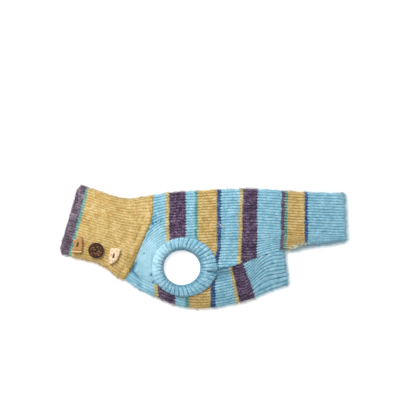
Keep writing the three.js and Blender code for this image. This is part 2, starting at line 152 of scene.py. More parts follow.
# The smooth line's y through the rows: a cubic between two rows, straight beyond the ends
def levelAt(rows, x):
    px, py = rows[:, 0], rows[:, 1]
    index = np.arange(len(rows))
    after = np.minimum(index + 1, len(rows) - 1)
    before = np.maximum(index - 1, 0)
    slope = (py[after] - py[before]) / (px[after] - px[before])
    k = np.clip(np.searchsorted(px, x) - 1, 0, len(rows) - 2)
    span = px[k + 1] - px[k]
    rise = py[k + 1] - py[k]
    t = (x - px[k]) / span
    bend = (slope[k] - rise / span) * (1 - t) - (slope[k + 1] - rise / span) * t
    inside = py[k] + rise * t + t * (1 - t) * span * bend
    left = py[0] + slope[0] * (x - px[0])
    right = py[-1] + slope[-1] * (x - px[-1])
    return np.where(x < px[0], left, np.where(x > px[-1], right, inside))


# Points at equal lengths on the Catmull-Rom line through the rows, as a loop where closed
def smoothLine(rows, count, closed=False):
    if closed:
        rows = np.concatenate([rows[-1:], rows, rows[:2]])
    last = len(rows) - 1
    t = np.linspace(1, last - 1, 40 * last + 1) if closed else np.linspace(0, last, 40 * last + 1)
    k = np.minimum(t.astype(int), last - 1)
    u = (t - k)[:, None]
    p0, p1, p2, p3 = rows[np.maximum(k - 1, 0)], rows[k], rows[k + 1], rows[np.minimum(k + 2, last)]
    v1, v2 = (p2 - p0) / 2, (p3 - p1) / 2
    line = (2 * p1 - 2 * p2 + v1 + v2) * u**3 + (3 * p2 - 3 * p1 - 2 * v1 - v2) * u**2 + v1 * u + p1
    run = np.concatenate(([0], np.cumsum(np.linalg.norm(np.diff(line, axis=0), axis=1))))
    want = np.linspace(0, run[-1], count, endpoint=not closed)
    return np.stack([np.interp(want, run, line[:, 0]), np.interp(want, run, line[:, 1])], axis=1)


# Rise of the near layer: each swell is rise * exp(-(along/length)^2 - (over/width)^2)
def swell(x, y, rows=swells):
    total = np.zeros(np.broadcast(x, y).shape)
    for cx, cy, turn, length, width, rise in rows:
        c, s = math.cos(math.radians(turn)), math.sin(math.radians(turn))
        along = ((x - cx) * c + (y - cy) * s) / length
        over = ((y - cy) * c - (x - cx) * s) / width
        total = total + rise * np.exp(-along**2 - over**2)
    return total


# 1 away from the eyelets, falling to 0 in each: product of 1 - exp(-(distance/radius)^2)
def awayFromEyelets(x, y):
    rest = np.ones(np.broadcast(x, y).shape)
    for cx, cy, radius in eyelets:
        rest = rest * (1 - np.exp(-((x - cx)**2 + (y - cy)**2) / radius**2))
    return rest


# Painted shade 0..1, how far the yarn takes its deep colour: in the creases and in the eyelets, on the near layer
# only
def paintedShadeAt(points):
    x, y = points[:, 0], points[:, 1]
    deep = np.maximum(np.clip(swell(x, y, creaseShade), 0, 1), 0.95 * (1 - awayFromEyelets(x, y)))
    return deep * (points[:, 2] > 4)


# Smooth noise from -1 to 1: a random table read between its entries
def softNoise(x, y, size, seed):
    table = np.random.default_rng(seed).uniform(-1, 1, (64, 64))
    gx, gy = x / size, y / size
    ix, iy = np.floor(gx).astype(int), np.floor(gy).astype(int)
    tx, ty = ramp(gx - ix, 0, 1), ramp(gy - iy, 0, 1)
    read = lambda a, b: table[a % 64, b % 64]
    low = read(ix, iy) * (1 - tx) + read(ix + 1, iy) * tx
    high = read(ix, iy + 1) * (1 - tx) + read(ix + 1, iy + 1) * tx
    return low * (1 - ty) + high * ty


# How a stitch's height is shared: its two slanting legs, the rounding of the whole rib, and hand-made unevenness.
stitchForm = {"leg": 0.45, "legFloor": 0.3, "legPower": 0.7, "acrossPower": 0.6, "round": 0.55, "roundPower": 0.8,
              "uneven": 0.18, "unevenSize": 1.6, "highest": 1.1}


# Height 0..1 of a knit stitch and its phase: w counts ribs, r counts rows, u runs from 0 at a rib's middle to 0.5 at
# its gap. A leg's phase is r - 2*slant*(u - 1/4), so legs form a V. The height is
# leg*sin(2*pi*u)*(floor + (1 - floor)*sin(pi*phase)) + round*cos(pi*u), each sine or cosine softened by a power.
def stitch(w, r):
    f = stitchForm
    u = np.abs(np.mod(w, 1) - 0.5)
    phase = r - 2 * knit["slant"] * (u - 0.25)
    leg = np.sin(np.pi * np.mod(phase, 1)) ** f["legPower"]
    across = np.sin(np.clip(2 * np.pi * u, 0, np.pi)) ** f["acrossPower"]
    rounded = np.maximum(np.cos(np.pi * u), 0) ** f["roundPower"]
    uneven = 1 + f["uneven"] * softNoise(w + 31.7, r, f["unevenSize"], 5)
    height = f["leg"] * across * (f["legFloor"] + (1 - f["legFloor"]) * leg) + f["round"] * rounded
    return np.clip(height * uneven, 0, f["highest"]), phase


# Stripes, counted in rows of knitting: yarn, rows, and where the stripe ends along X.
backStart = -112.0
backStripes = [
    ("sky", 26, -49.3), ("straw", 2, -43.9), ("plum", 8, -22.6), ("sky", 5, -11.6), ("teal", 2, -7.2),
    ("mustard", 10, 17.6), ("navy", 2, 23.4), ("sky", 9, 47.0), ("straw", 2, 52.0), ("plum", 7, 70.4),
    ("sky", 13, 101.8), ("heather", 2, 106.7), ("teal", 1, 110.4), ("mustard", 9, 131.8), ("navy", 2, 136.4),
    ("sky", 22, 192.0),
]
bellyStart = -120.0
bellyStripes = [
    ("sky", 23, -62.4), ("straw", 2, -57.6), ("plum", 9, -36.6), ("sky", 6, -24.0), ("teal", 2, -18.3),
    ("mustard", 11, 9.8), ("navy", 3, 16.2), ("sky", 11, 42.9), ("straw", 2, 47.6), ("plum", 7, 67.2),
    ("sky", 24, 126.0),
]
collarStripes = [("heather", 3.8, 3.8), ("teal", 1.3, 5.1), ("mustard", 32.9, 38)]


# Row numbers and the X where each begins, for reading one from the other
def rowTable(start, stripes):
    rows = np.concatenate(([0], np.cumsum([s[1] for s in stripes])))
    ends = np.concatenate(([start], [s[2] for s in stripes]))
    return rows, ends


# Back panel: ribs follow the spine. Left of the fan line a rib falls away as a parabola,
# y = spine(x) - s - a*t^2/2, measured along its own length so that the rows keep their pitch.
backForm = {
    "wales": 33, "fanStart": -48.0, "fanLength": 38.0, "fanFirst": 8.0, "fanFull": 42.0, "fanGrowth": 80.0,
    "liftFrom": 60.0, "liftTo": 105.0, "lift": 12.0, "liftFirst": 50.0, "liftFull": 90.0,
    "leans": [(48.0, 22.0, 3.6), (105.0, 9.0, 2.8)],   # rows that lean to the left: at x, reach, amount
    "leanShares": [(0.45, 0, 35), (0.55, 55, 100)],    # share of it, gained from s to s
    "seamLean": (20.0, 9.0, 3.4), "seamLeanFrom": 70, "seamLeanTo": 102,
}


# Plan place of row r at a distance s from the spine's fold
def backPlace(r, s):
    f = backForm
    x = np.interp(r, *rowTable(backStart, backStripes))
    leaning = sum(amount * bell(x, at, reach) for at, reach, amount in f["leans"])
    x = x - leaning * sum(share * ramp(s, low, high) for share, low, high in f["leanShares"])
    at, reach, amount = f["seamLean"]
    x = x - amount * bell(x, at, reach) * ramp(s, f["seamLeanFrom"], f["seamLeanTo"])
    run = np.maximum(f["fanStart"] - x, 0)
    a = np.maximum(ramp(s, f["fanFirst"], f["fanFull"]) * (1 + s / f["fanGrowth"]) / f["fanLength"], 1e-6)
    t = run
    for _ in range(5):  # Newton steps for the reach t whose arc length is run
        q = np.sqrt(1 + (a * t)**2)
        t = t - ((a * t * q + np.arcsinh(a * t)) / (2 * a) - run) / q
    x = np.where(run > 0, f["fanStart"] - t, x)
    drop = np.where(run > 0, a * t**2 / 2, 0)
    lift = f["lift"] * ramp(s, f["liftFirst"], f["liftFull"]) * ramp(x, f["liftFrom"], f["liftTo"])
    return np.stack([x, levelAt(spine, x) - s - drop + lift], axis=-1)


# Belly panel: ribs run parallel to the folded edge, rows lean by the slope in this table.
bellyForm = {"wales": 17, "swayFrom": 54.0, "swayCrest": 77.0, "swayTo": 108.0, "sway": 8.0, "swayLeft": 3.0,
             "swayFirst": 12.0, "widen": 0.26, "widenFrom": 58.0, "widenTo": 98.0}
bellyLean = np.array([(-120, 0.0), (-62, 0.1), (-40, 0.0), (12, 0.0), (44, 0.2), (66, 0.32), (82, 0.27),
                      (111, 0.15)])


# Plan place of row r at a distance s from the belly's fold: y = fold(x) + s*sqrt(1 + slope^2) + sway
def bellyPlace(r, s):
    f = bellyForm
    start = np.interp(r, *rowTable(bellyStart, bellyStripes))
    x = start - levelAt(bellyLean, start) * s
    s = s * (1 + f["widen"] * ramp(x, f["widenFrom"], f["widenTo"]))
    slope = (levelAt(bellyFold, x + 1) - levelAt(bellyFold, x - 1)) / 2
    up = f["sway"] * ramp(x, f["swayFrom"], f["swayCrest"])
    down = (f["sway"] - f["swayLeft"]) * ramp(x, f["swayCrest"], f["swayTo"])
    y = levelAt(bellyFold, x) + s * np.sqrt(1 + slope**2) + (up - down) * ramp(s, 0, f["swayFirst"])
    return np.stack([x, y], axis=-1)


# Writes a mesh piece from arrays in millimetres. uv is (rib, row) for each vertex of a knit and the plan place on a
# button; each field is a value for each vertex: relief its height 0..1, fringe and painted shade how far it takes
# that colour.
def writePiece(name, points, faces, material, slot, uv=None, **fields):
    mesh = bpy.data.meshes.new(name)
    mesh.vertices.add(len(points))
    mesh.vertices.foreach_set("co", (np.asarray(points, np.float32) * mm).ravel())
    sizes = np.concatenate([np.full(len(f), f.shape[1]) for f in faces])
    corners = np.concatenate([f.ravel() for f in faces]).astype(np.int32)
    mesh.loops.add(len(corners))
    mesh.polygons.add(len(sizes))
    mesh.polygons.foreach_set("loop_start", np.concatenate(([0], np.cumsum(sizes)[:-1])).astype(np.int32))
    mesh.loops.foreach_set("vertex_index", corners)
    mesh.polygons.foreach_set("use_smooth", np.ones(len(sizes), bool))
    if uv is not None:
        mesh.uv_layers.new(name="surfaceMap").data.foreach_set("uv", uv[corners].astype(np.float32).ravel())
    for field, values in fields.items():
        mesh.attributes.new(field, "FLOAT", "POINT").data.foreach_set("value", values.astype(np.float32))
    mesh.update(calc_edges=True)
    mesh.validate()
    mesh.materials.append(material)
    piece = bpy.data.objects.new(name, mesh)
    bpy.context.scene.collection.objects.link(piece)
    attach(piece, "root")
    return piece


# Area of each quad: half the cross product of its diagonals
def quadAreas(points, quads):
    p = points[quads]
    return 0.5 * np.linalg.norm(np.cross(p[:, 2] - p[:, 0], p[:, 3] - p[:, 1]), axis=1)


# Quads over a grid of n by m points that is closed both ways, or along n only
def gridQuads(n, m, closed=True):
    i, j = np.meshgrid(np.arange(n), np.arange(m if closed else m - 1), indexing="ij")
    i2, j2 = (i + 1) % n, (j + 1) % m
    return np.stack([i * m + j, i2 * m + j, i2 * m + j2, i * m + j2], axis=-1).reshape(-1, 4)


# Directed edges that have no partner running the other way
def openEdges(quads):
    edges = np.concatenate([quads[:, [0, 1]], quads[:, [1, 2]], quads[:, [2, 3]], quads[:, [3, 0]]])
    big = int(quads.max()) + 1
    own, other = edges[:, 0] * big + edges[:, 1], edges[:, 1] * big + edges[:, 0]
    return edges[~np.isin(own, other)]


# True where a point lies inside the closed outline: an odd number of edges is crossed to its right
def insideOutline(points, outline):
    x, y = points[..., 0], points[..., 1]
    inside = np.zeros(x.shape, bool)
    for (x1, y1), (x2, y2) in zip(outline, np.roll(outline, -1, axis=0)):
        crosses = (y1 > y) != (y2 > y)
        inside ^= crosses & (x < (x2 - x1) * (y - y1) / (y2 - y1 + 1e-12) + x1)
    return inside


# Nearest point on a set of segments, and the segment ends' values blended there
def nearestOn(points, a, b, va, vb):
    ab = b - a
    t = np.einsum("psk,sk->ps", points[:, None] - a[None], ab) / (ab**2).sum(1)
    t = np.clip(t, 0, 1)
    foot = a[None] + t[..., None] * ab[None]
    best = np.argmin(((foot - points[:, None])**2).sum(-1), axis=1)
    pick = np.arange(len(points))
    tb = t[pick, best][:, None]
    return foot[pick, best], va[best] * (1 - tb) + vb[best] * tb


# An outline moved inwards by an amount for each point (counter-clockwise outline, inwards is left)
def movedIn(outline, amount):
    along = np.roll(outline, -1, axis=0) - np.roll(outline, 1, axis=0)
    along /= np.linalg.norm(along, axis=1)[:, None]
    return outline + np.stack([-along[:, 1], along[:, 0]], axis=1) * np.asarray(amount)[:, None]


# Ellipse of a leg opening, grown outwards by an amount
def ringLine(form, grow, count):
    angle = np.linspace(0, 2 * np.pi, count, endpoint=False)
    return np.stack([form["x"] + (form["across"] + grow) * np.cos(angle),
                     form["y"] + (form["up"] + grow) * np.sin(angle)], axis=1)


# Rims: how far the rounded edge stands out at a seam and at a free edge, how far a panel runs in under the cuff,
# and how far a grid point moves to meet its outline.
edge = {"seam": 0.3, "free": 1.2, "underCuff": 3.5, "reach": 4.0, "rimRows": 3, "cornerGap": 0.5, "pastFold": 95.0}


# One outline from stretches of line, and for each point how far the cloth's rounded rim reaches in there
def joinedOutline(parts):
    return np.concatenate([p for p, _ in parts]), np.concatenate([np.full(len(p), e) for p, e in parts])


# Counter-clockwise: neck, side seam, tail, and round the folded spine, which it leaves whole
def backOutline():
    neck = smoothLine(neckLine, 60)
    neck = neck[neck[:, 1] > sideSeam[0, 1] + edge["cornerGap"]]
    above = np.array([(tailHem[-1, 0], edge["pastFold"]), (neck[0, 0], edge["pastFold"])])
    return joinedOutline([(neck, edge["seam"]), (smoothLine(sideSeam, 70), edge["seam"]),
                          (smoothLine(tailEdge, 30), edge["free"]), (smoothLine(tailHem, 20), edge["free"]),
                          (above, 0.0)])


# Counter-clockwise: throat, round the folded belly, the belly hem and back along the side seam
def bellyOutline():
    neck = smoothLine(neckLine, 60)
    neck = neck[neck[:, 1] < sideSeam[0, 1] - edge["cornerGap"]]
    below = np.array([(-112.0, -53.0), (-112.0, -100.0), (113.0, -100.0)])
    return joinedOutline([(neck, edge["seam"]), (below, 0.0), (smoothLine(bellyHem, 20)[::-1], edge["free"]),
                          (smoothLine(sideSeam, 70)[::-1], edge["seam"])])


# Wall thickness between the near layer's (sin(a) = 1) and the far layer's (sin(a) = -1)
def wallAt(turn):
    near, far = knit["nearWall"], knit["farWall"]
    return (near + far) / 2 + (near - far) / 2 * np.sin(turn)


# Surface of a panel folded at w = 0: s = inset + R(1 - cos a) + flat run, z = low + (1 + sin a)/2 * (high - low),
# with a = w*pitch/R held between -90 and 90 degrees; near side a = 90, far side a = -90.
def foldedSurface(place, w, r):
    k = knit
    q = w * k["walePitch"]
    a = np.clip(q / k["foldRadius"], -np.pi / 2, np.pi / 2)
    flat = np.maximum(np.abs(q) - k["foldRadius"] * np.pi / 2, 0)
    s = k["foldInset"] + k["foldRadius"] * (1 - np.cos(a)) + flat
    alongBy, acrossBy = [amount * softNoise(w, r, size, seed) for amount, size, seed
                         in (k["wobbleAlong"], k["wobbleAcross"])]
    plan = place(r + alongBy / k["rowPitch"], s) + np.stack([np.zeros_like(s), acrossBy], axis=-1)
    out = place(r, np.zeros_like(s)) - place(r, np.ones_like(s))
    out /= np.linalg.norm(out, axis=-1)[..., None]
    high = k["nearLow"] + swell(plan[..., 0], plan[..., 1]) - k["foldDrop"] * (1 - ramp(s, 0, k["foldSoft"]))
    z = k["farLow"] + (high - k["farLow"]) * (1 + np.sin(a)) / 2
    base = np.concatenate([plan, z[..., None]], axis=-1)
    normal = np.concatenate([out * np.cos(a)[..., None], np.sin(a)[..., None]], axis=-1)
    wall = wallAt(a)
    room = np.maximum(z - k["farLow"] - k["farWall"] - k["layerGap"], k["leastWall"])
    return base, normal, np.where(np.sin(a) > 0.99, np.minimum(wall, room), wall)


# Stitch heights over a panel: calmed in the brushed patch and sunk in the eyelets, on the near layer only
def panelStitches(base, w, r):
    x, y = base[..., 0], base[..., 1]
    p = brushedPatch
    height, phase = stitch(w, r)
    rest = np.where(w > 1, awayFromEyelets(x, y), 1)
    soft = np.exp(-((x - p["x"]) / p["reachX"])**4 - ((y - p["y"]) / p["reachY"])**4) * (w > 1)
    height = height * rest * (1 - p["calm"] * soft) + p["level"] * p["calm"] * soft
    return height, phase, knit["relief"] * height - knit["pitDepth"] * (1 - rest)


# Cells of a grid whose four corners lie inside the outline and outside the hole
def cellsInside(plan, outline, hole):
    keep = insideOutline(plan, outline) & ~insideOutline(plan, hole)
    cell = keep[:-1, :-1] & keep[1:, :-1] & keep[1:, 1:] & keep[:-1, 1:]
    for _ in range(4):  # no two cells may touch at a corner alone
        a, b, c, d = cell[:-1, :-1], cell[1:, :-1], cell[1:, 1:], cell[:-1, 1:]
        cell[:-1, :-1] &= ~(a & c & ~b & ~d)
        cell[1:, :-1] &= ~(b & d & ~a & ~c)
    i, j = np.nonzero(cell)
    rows = plan.shape[1]
    return np.stack([i * rows + j, (i + 1) * rows + j, (i + 1) * rows + j + 1, i * rows + j + 1], axis=1)


# How far each rim point moves to meet its cutting line, and the way out of the cloth there. A loop is a line and its
# outward vectors.
def snapRim(plan, loops):
    ends = [np.concatenate([np.roll(loop[part], -turn, axis=0) for loop in loops])
            for part in (0, 1) for turn in (0, 1)]
    foot, out = nearestOn(plan, *ends)
    shift = foot - plan
    far = np.linalg.norm(shift, axis=1) >= edge["reach"]
    shift[far] = 0
    out[far] = 0
    return shift, out


# Rows of the rounded rim from outside to inside: middle + half*sin(t) + out*cos(t), t from 90 to -90 degrees
def rimRows(outer, inner, out):
    middle, half = (outer + inner) / 2, (outer - inner) / 2
    turns = np.linspace(np.pi / 2, -np.pi / 2, edge["rimRows"] + 2)[1:-1]
    return [middle + half * math.sin(t) + out * math.cos(t) for t in turns]


# Pale ends along the tail's lower edge: share = fringe * exp(-(distance/reach)^4)
tailFringe = {"share": 0.85, "reach": 6.0, "less": 3.2, "lessFrom": 128, "lessTo": 146, "from": 110, "to": 116}


def fringeAt(points):
    f = tailFringe
    away = np.sqrt(((points[:, None, :2] - smoothLine(tailEdge, 40)[None])**2).sum(-1)).min(1)
    reach = f["reach"] - f["less"] * ramp(points[:, 0], f["lessFrom"], f["lessTo"])
    return f["share"] * np.exp(-(away / reach)**4) * ramp(points[:, 0], f["from"], f["to"])


# Closed knitted panel: a fine outer grid of stitches cut to the outline, a rounded rim and a plain inside.
def knitPanel(name, place, stripes, wales, outline, insets, flip, material, slot):
    k = knit
    near = np.arange(0, wales * k["nearSamples"] + 1) / k["nearSamples"]
    fold = -np.arange(1, k["nearSamples"] + 1) / k["nearSamples"]
    far = -1 - np.arange(1, (wales - 1) * k["farSamples"] + 1) / k["farSamples"]
    w1 = np.concatenate([far[::-1], fold[::-1], near])
    r1 = np.arange(0, sum(s[1] for s in stripes) * k["courseSamples"] + 1) / k["courseSamples"]
    w, r = np.meshgrid(w1, r1, indexing="ij")
    base, normal, wall = foldedSurface(place, w, r)
    height, phase, rise = panelStitches(base, w, r)

    inset, hole = movedIn(outline, insets), ringLine(cuffRing, -edge["underCuff"], 120)
    used, quads = np.unique(cellsInside(base[..., :2], inset, hole), return_inverse=True)
    quads = quads.reshape(-1, 4)
    pick = lambda field: field.reshape(w.size, -1)[used]
    outer, inner, base = pick(base + normal * rise[..., None]), pick(base - normal * wall[..., None]), pick(base)
    uv, height = np.concatenate([pick(w), pick(phase)], axis=1), pick(height)[:, 0]

    rim, where = np.unique(openEdges(quads), return_inverse=True)
    where = where.reshape(-1, 2)
    inward = np.array([cuffRing["x"], cuffRing["y"]]) - hole
    inward *= edge["seam"] / np.linalg.norm(inward, axis=1)[:, None]
    shift, out = snapRim(base[rim, :2], [(inset, outline - inset), (hole, inward)])
    outer[rim, :2] += shift
    innerRim = inner[rim].copy()
    innerRim[:, :2] += shift
    rings = rimRows(outer[rim], innerRim, np.concatenate([out, np.zeros((len(out), 1))], axis=1))

    # inside: the rim's points and a coarse grid, every second rib and fourth row, joined by triangles
    ribRow = np.concatenate([pick(w) * k["walePitch"], pick(r) * k["rowPitch"]], axis=1)
    onGrid = (np.abs(np.mod(ribRow / (2 * k["walePitch"], 4 * k["rowPitch"]), 1)) < 1e-6).all(1)
    onGrid[rim] = False
    coarse = np.nonzero(onGrid)[0]
    made = delaunay_2d_cdt([Vector(p) for p in ribRow[np.concatenate([rim, coarse])]], where.tolist(), [], 1, 1e-5)
    insideTris = np.array([ids[0] for ids in made[3]])[np.array(made[2])][:, ::-1]

    count, ringSize = len(outer), len(rim)
    points = np.concatenate([outer] + rings + [innerRim, inner[coarse]])
    levels = [rim] + [np.arange(ringSize) + count + n * ringSize for n in range(len(rings) + 1)]
    strips = [np.stack([lo[where[:, 1]], lo[where[:, 0]], hi[where[:, 0]], hi[where[:, 1]]], axis=1)
              for lo, hi in zip(levels[:-1], levels[1:])]
    faces = [quads, np.concatenate(strips), insideTris + count + len(rings) * ringSize]
    if flip:
        faces = [f[:, ::-1] for f in faces]
    # a rim's relief sets its painted gap shade and crest highlight: a free rim takes little shade
    rimTone = np.maximum(height[rim], np.where(np.linalg.norm(out, axis=1) > edge["free"] / 2, 0.85, 0.45))
    relief = np.concatenate([height] + [rimTone] * len(rings) + [np.zeros(ringSize + len(coarse))])
    piece = writePiece(name, points, faces, material, slot,
                       np.concatenate([uv] + [uv[rim]] * (len(rings) + 1) + [uv[coarse]]),
                       relief=relief, fringe=fringeAt(points), deep=paintedShadeAt(points))
    print(name, sum(len(f) * (f.shape[1] - 2) for f in faces), "triangles, cut area",
          round(quadAreas(base, quads).sum()), "mm2")
    return piece, {"points": outer, "normal": pick(normal), "uv": uv, "quads": quads, "rim": rim, "out": out}


# Collar: the plan place of (u, v) is blended from its four edges, u from the open edge to the neck line,
# v from the top fold to the bottom fold: edges blended both ways, less the blend of the corners.
collarForm = {"wales": 25, "foldWales": 2, "rows": 38, "insideRows": 9, "length": 97.0, "cornerCut": 3.4,
              "cornerReach": 7.0, "cornerRows": 5, "wobble": (0.2, 2.9, 21), "bandLean": 1.3, "bandShift": 0.5,
              "ridge": (0.6, 36.2, 1.0), "trough": (0.7, 34.2, 0.8),   # beside the neck: amount, row, reach
              "dip": 1.2, "dipFrom": 37.2, "reliefShare": 0.8, "rise": 0.2, "rimTone": 0.7}


def collarPlace(u, v):
    line = lambda rows, t: np.stack([np.interp(t, np.linspace(0, 1, 200), c) for c in smoothLine(rows, 200).T], -1)
    openEdge = np.array([collarTop[0], collarBottom[0]])
    past = (u - np.clip(u, 0, 1))[..., None]
    u = np.clip(u, 0, 1)
    start, end, top, bottom = line(openEdge, v), line(neckLine, v), line(collarTop, u), line(collarBottom, u)
    u, v = u[..., None], v[..., None]
    corners = (1 - v) * ((1 - u) * collarTop[0] + u * collarTop[-1])
    corners = corners + v * ((1 - u) * collarBottom[0] + u * collarBottom[-1])
    return (1 - u) * start + u * end + (1 - v) * top + v * bottom - corners + past * (end - start)


# Place, normal and wall at rib w and row r, round the near side, bottom fold, far side and top fold. Over a fold the
# turn goes half way round, and the distance s from the top is that of the flat run's end plus R*cos(turn).
def collarSurface(w, r):
    k, f = knit, collarForm
    side, fold, radius = f["wales"], f["foldWales"], k["foldRadius"]
    start = radius + k["foldInset"]
    u = r / f["rows"]
    top, bottom = [collarPlace(u, np.zeros_like(u) + end) for end in (0.0, 1.0)]
    width = np.linalg.norm(top - bottom, axis=-1)
    run = width - 2 * start
    stretches = [w < side, w < side + fold, w < 2 * side + fold]
    turn = np.select(stretches, [np.pi / 2, np.pi / 2 - np.pi * (w - side) / fold, -np.pi / 2 + 0 * w],
                     -np.pi / 2 + np.pi * (w - 2 * side - fold) / fold)
    s = np.select(stretches, [start + run * w / side, start + run + radius * np.cos(turn),
                              start + run * (2 * side + fold - w) / side], start - radius * np.cos(turn))
    nearFold = 1 - ramp(np.minimum(s, width - s), 0, f["cornerReach"])
    cut = f["cornerCut"] * nearFold * (1 - ramp(r, 0, f["cornerRows"]))
    amount, size, seed = f["wobble"]
    plan = collarPlace(u + (cut + amount * softNoise(w, r, size, seed)) / f["length"], s / width)
    across = (bottom - top) / width[..., None]
    outward = np.where((w < side + fold)[..., None], across, -across)
    (ridge, ridgeRow, ridgeReach), (trough, troughRow, troughReach) = f["ridge"], f["trough"]
    lift = ridge * bell(r, ridgeRow, ridgeReach) - trough * bell(r, troughRow, troughReach)
    lift = lift - f["dip"] * ramp(r, f["dipFrom"], f["rows"])
    high = k["nearLow"] + swell(plan[..., 0], plan[..., 1]) + lift
    z = k["farLow"] + (high - k["farLow"]) * (1 + np.sin(turn)) / 2
    normal = np.concatenate([outward * np.cos(turn)[..., None], np.sin(turn)[..., None]], axis=-1)
    return np.concatenate([plan, z[..., None]], axis=-1), normal, wallAt(turn)


# One closed profile carried round the collar: outside, rim at the neck, inside, rim at the open edge
def knitCollar(name, material, slot):
    k, f = knit, collarForm
    side, fold = f["wales"], f["foldWales"]
    stretches = [(0, side, "nearSamples"), (side, fold, "nearSamples"), (side + fold, side, "farSamples"),
                 (2 * side + fold, fold, "nearSamples")]
    w1 = np.concatenate([start + np.arange(0, wales * k[samples]) / k[samples]
                         for start, wales, samples in stretches])
    r1 = np.arange(0, f["rows"] * k["courseSamples"] + 1) / k["courseSamples"]
    w, r = np.meshgrid(w1, r1, indexing="ij")
    base, normal, _ = collarSurface(w, r)
    height, phase = stitch(w, r)
    # the band at the open edge is wider at the bottom: its border lies further in there
    depth = np.select([w < side, w < side + fold, w < 2 * side + fold],
                      [w / side, 1 + 0 * w, (2 * side + fold - w) / side], 0)
    phase = phase - (f["bandLean"] * depth - f["bandShift"])
    outer = base + normal * (f["reliefShare"] * k["relief"] * height + f["rise"])[..., None]
    wIn, rIn = np.meshgrid(w1, np.linspace(0, f["rows"], f["insideRows"]), indexing="ij")
    baseIn, normalIn, wallIn = collarSurface(wIn, rIn)
    inner = baseIn - normalIn * wallIn[..., None]

    neckRim = rimRows(outer[:, -1], inner[:, -1], unit(outer[:, -1] - outer[:, -2]) * edge["seam"])
    openRim = rimRows(outer[:, 0], inner[:, 0], unit(outer[:, 0] - outer[:, 1]) * edge["free"])[::-1]
    loop = np.concatenate([outer, np.stack(neckRim, 1), inner[:, ::-1], np.stack(openRim, 1)], axis=1)
    rim = lambda field, column: np.repeat(field[:, column][:, None], edge["rimRows"], 1)
    rows = np.concatenate([phase, rim(phase, -1), rIn[:, ::-1], rim(phase, 0)], axis=1)
    relief = np.concatenate([height, rim(height, -1) * f["rimTone"], wIn * 0, rim(height, 0) * f["rimTone"]], axis=1)
    n, m = loop.shape[:2]
    quads, points = gridQuads(n, m), loop.reshape(-1, 3)
    uv = np.stack([np.repeat(w1[:, None], m, 1), rows], axis=-1).reshape(-1, 2)
    piece = writePiece(name, points, [quads], material, slot, uv, relief=relief.ravel(), deep=paintedShadeAt(points))
    skin = gridQuads(n, outer.shape[1], closed=False)
    print(name, 2 * len(quads), "triangles, cut area", round(quadAreas(base.reshape(-1, 3), skin).sum()), "mm2")
    return piece, {"points": outer.reshape(-1, 3), "normal": normal.reshape(-1, 3), "quads": skin,
                   "uv": np.stack([w, phase], axis=-1).reshape(-1, 2), "rim": np.arange(n) * outer.shape[1],
                   "out": unit(base[:, 0] - base[:, 2])}


# Cuff: a closed profile swept round the leg opening. A profile's rows are share and height; share runs from the
# ring's outer edge to the hole. Angles run from +X towards +Y.
cuffForm = {"wales": 40, "width": 17.0, "relief": 1.5, "farRelief": 0.8, "swellShare": 0.35,
            "plainAt": math.pi, "plainReach": 0.5, "plainDrop": 1.3, "plainLevel": 0.55, "plainCalm": 0.75,
            "notchAt": -0.18, "notchReach": 0.07, "notch": 3.2, "bulge": 1.4, "bulgeReach": 0.3,
            "notchShade": 0.8, "aroundNotchShade": 0.18, "aroundReach": 0.35, "lowerShade": 0.13, "holeShade": 0.33,
            "mostShade": 0.9}
nearProfile = np.array([(0.02, 6.2), (0.03, 7.3), (0.12, 8.3), (0.4, 9.0), (0.7, 8.3), (0.9, 6.4), (0.985, 4.2),
                        (0.97, 3.3), (0.92, 3.6), (0.85, 4.9), (0.6, 6.2), (0.3, 6.5), (0.06, 6.0), (0.02, 6.2)])
nearTop = 7   # rows of the profile that carry stitches, from the outer edge to the hole
farProfile = np.array([(0.0, 1.2), (0.04, 1.0), (0.5, 1.0), (0.92, 1.0), (0.975, 1.5), (0.95, 2.4), (0.85, 2.9),
                       (0.5, 2.8), (0.05, 2.6), (0.0, 1.9), (0.0, 1.2)])
farTop = 5


# Points along the profile in mm: the top side that carries stitches, and the plain underside
def cuffSection(profile, topRows, sizes):
    inPlan = np.array([cuffForm["width"], 1.0])
    fine = smoothLine(profile * inPlan, 400)
    fromTurn = ((fine - profile[topRows - 1] * inPlan)**2).sum(1)
    split = int(np.argmin(fromTurn[:300]))
    return smoothLine(fine[:split + 1:6], sizes[0]), smoothLine(fine[split::6], sizes[1])[1:-1]


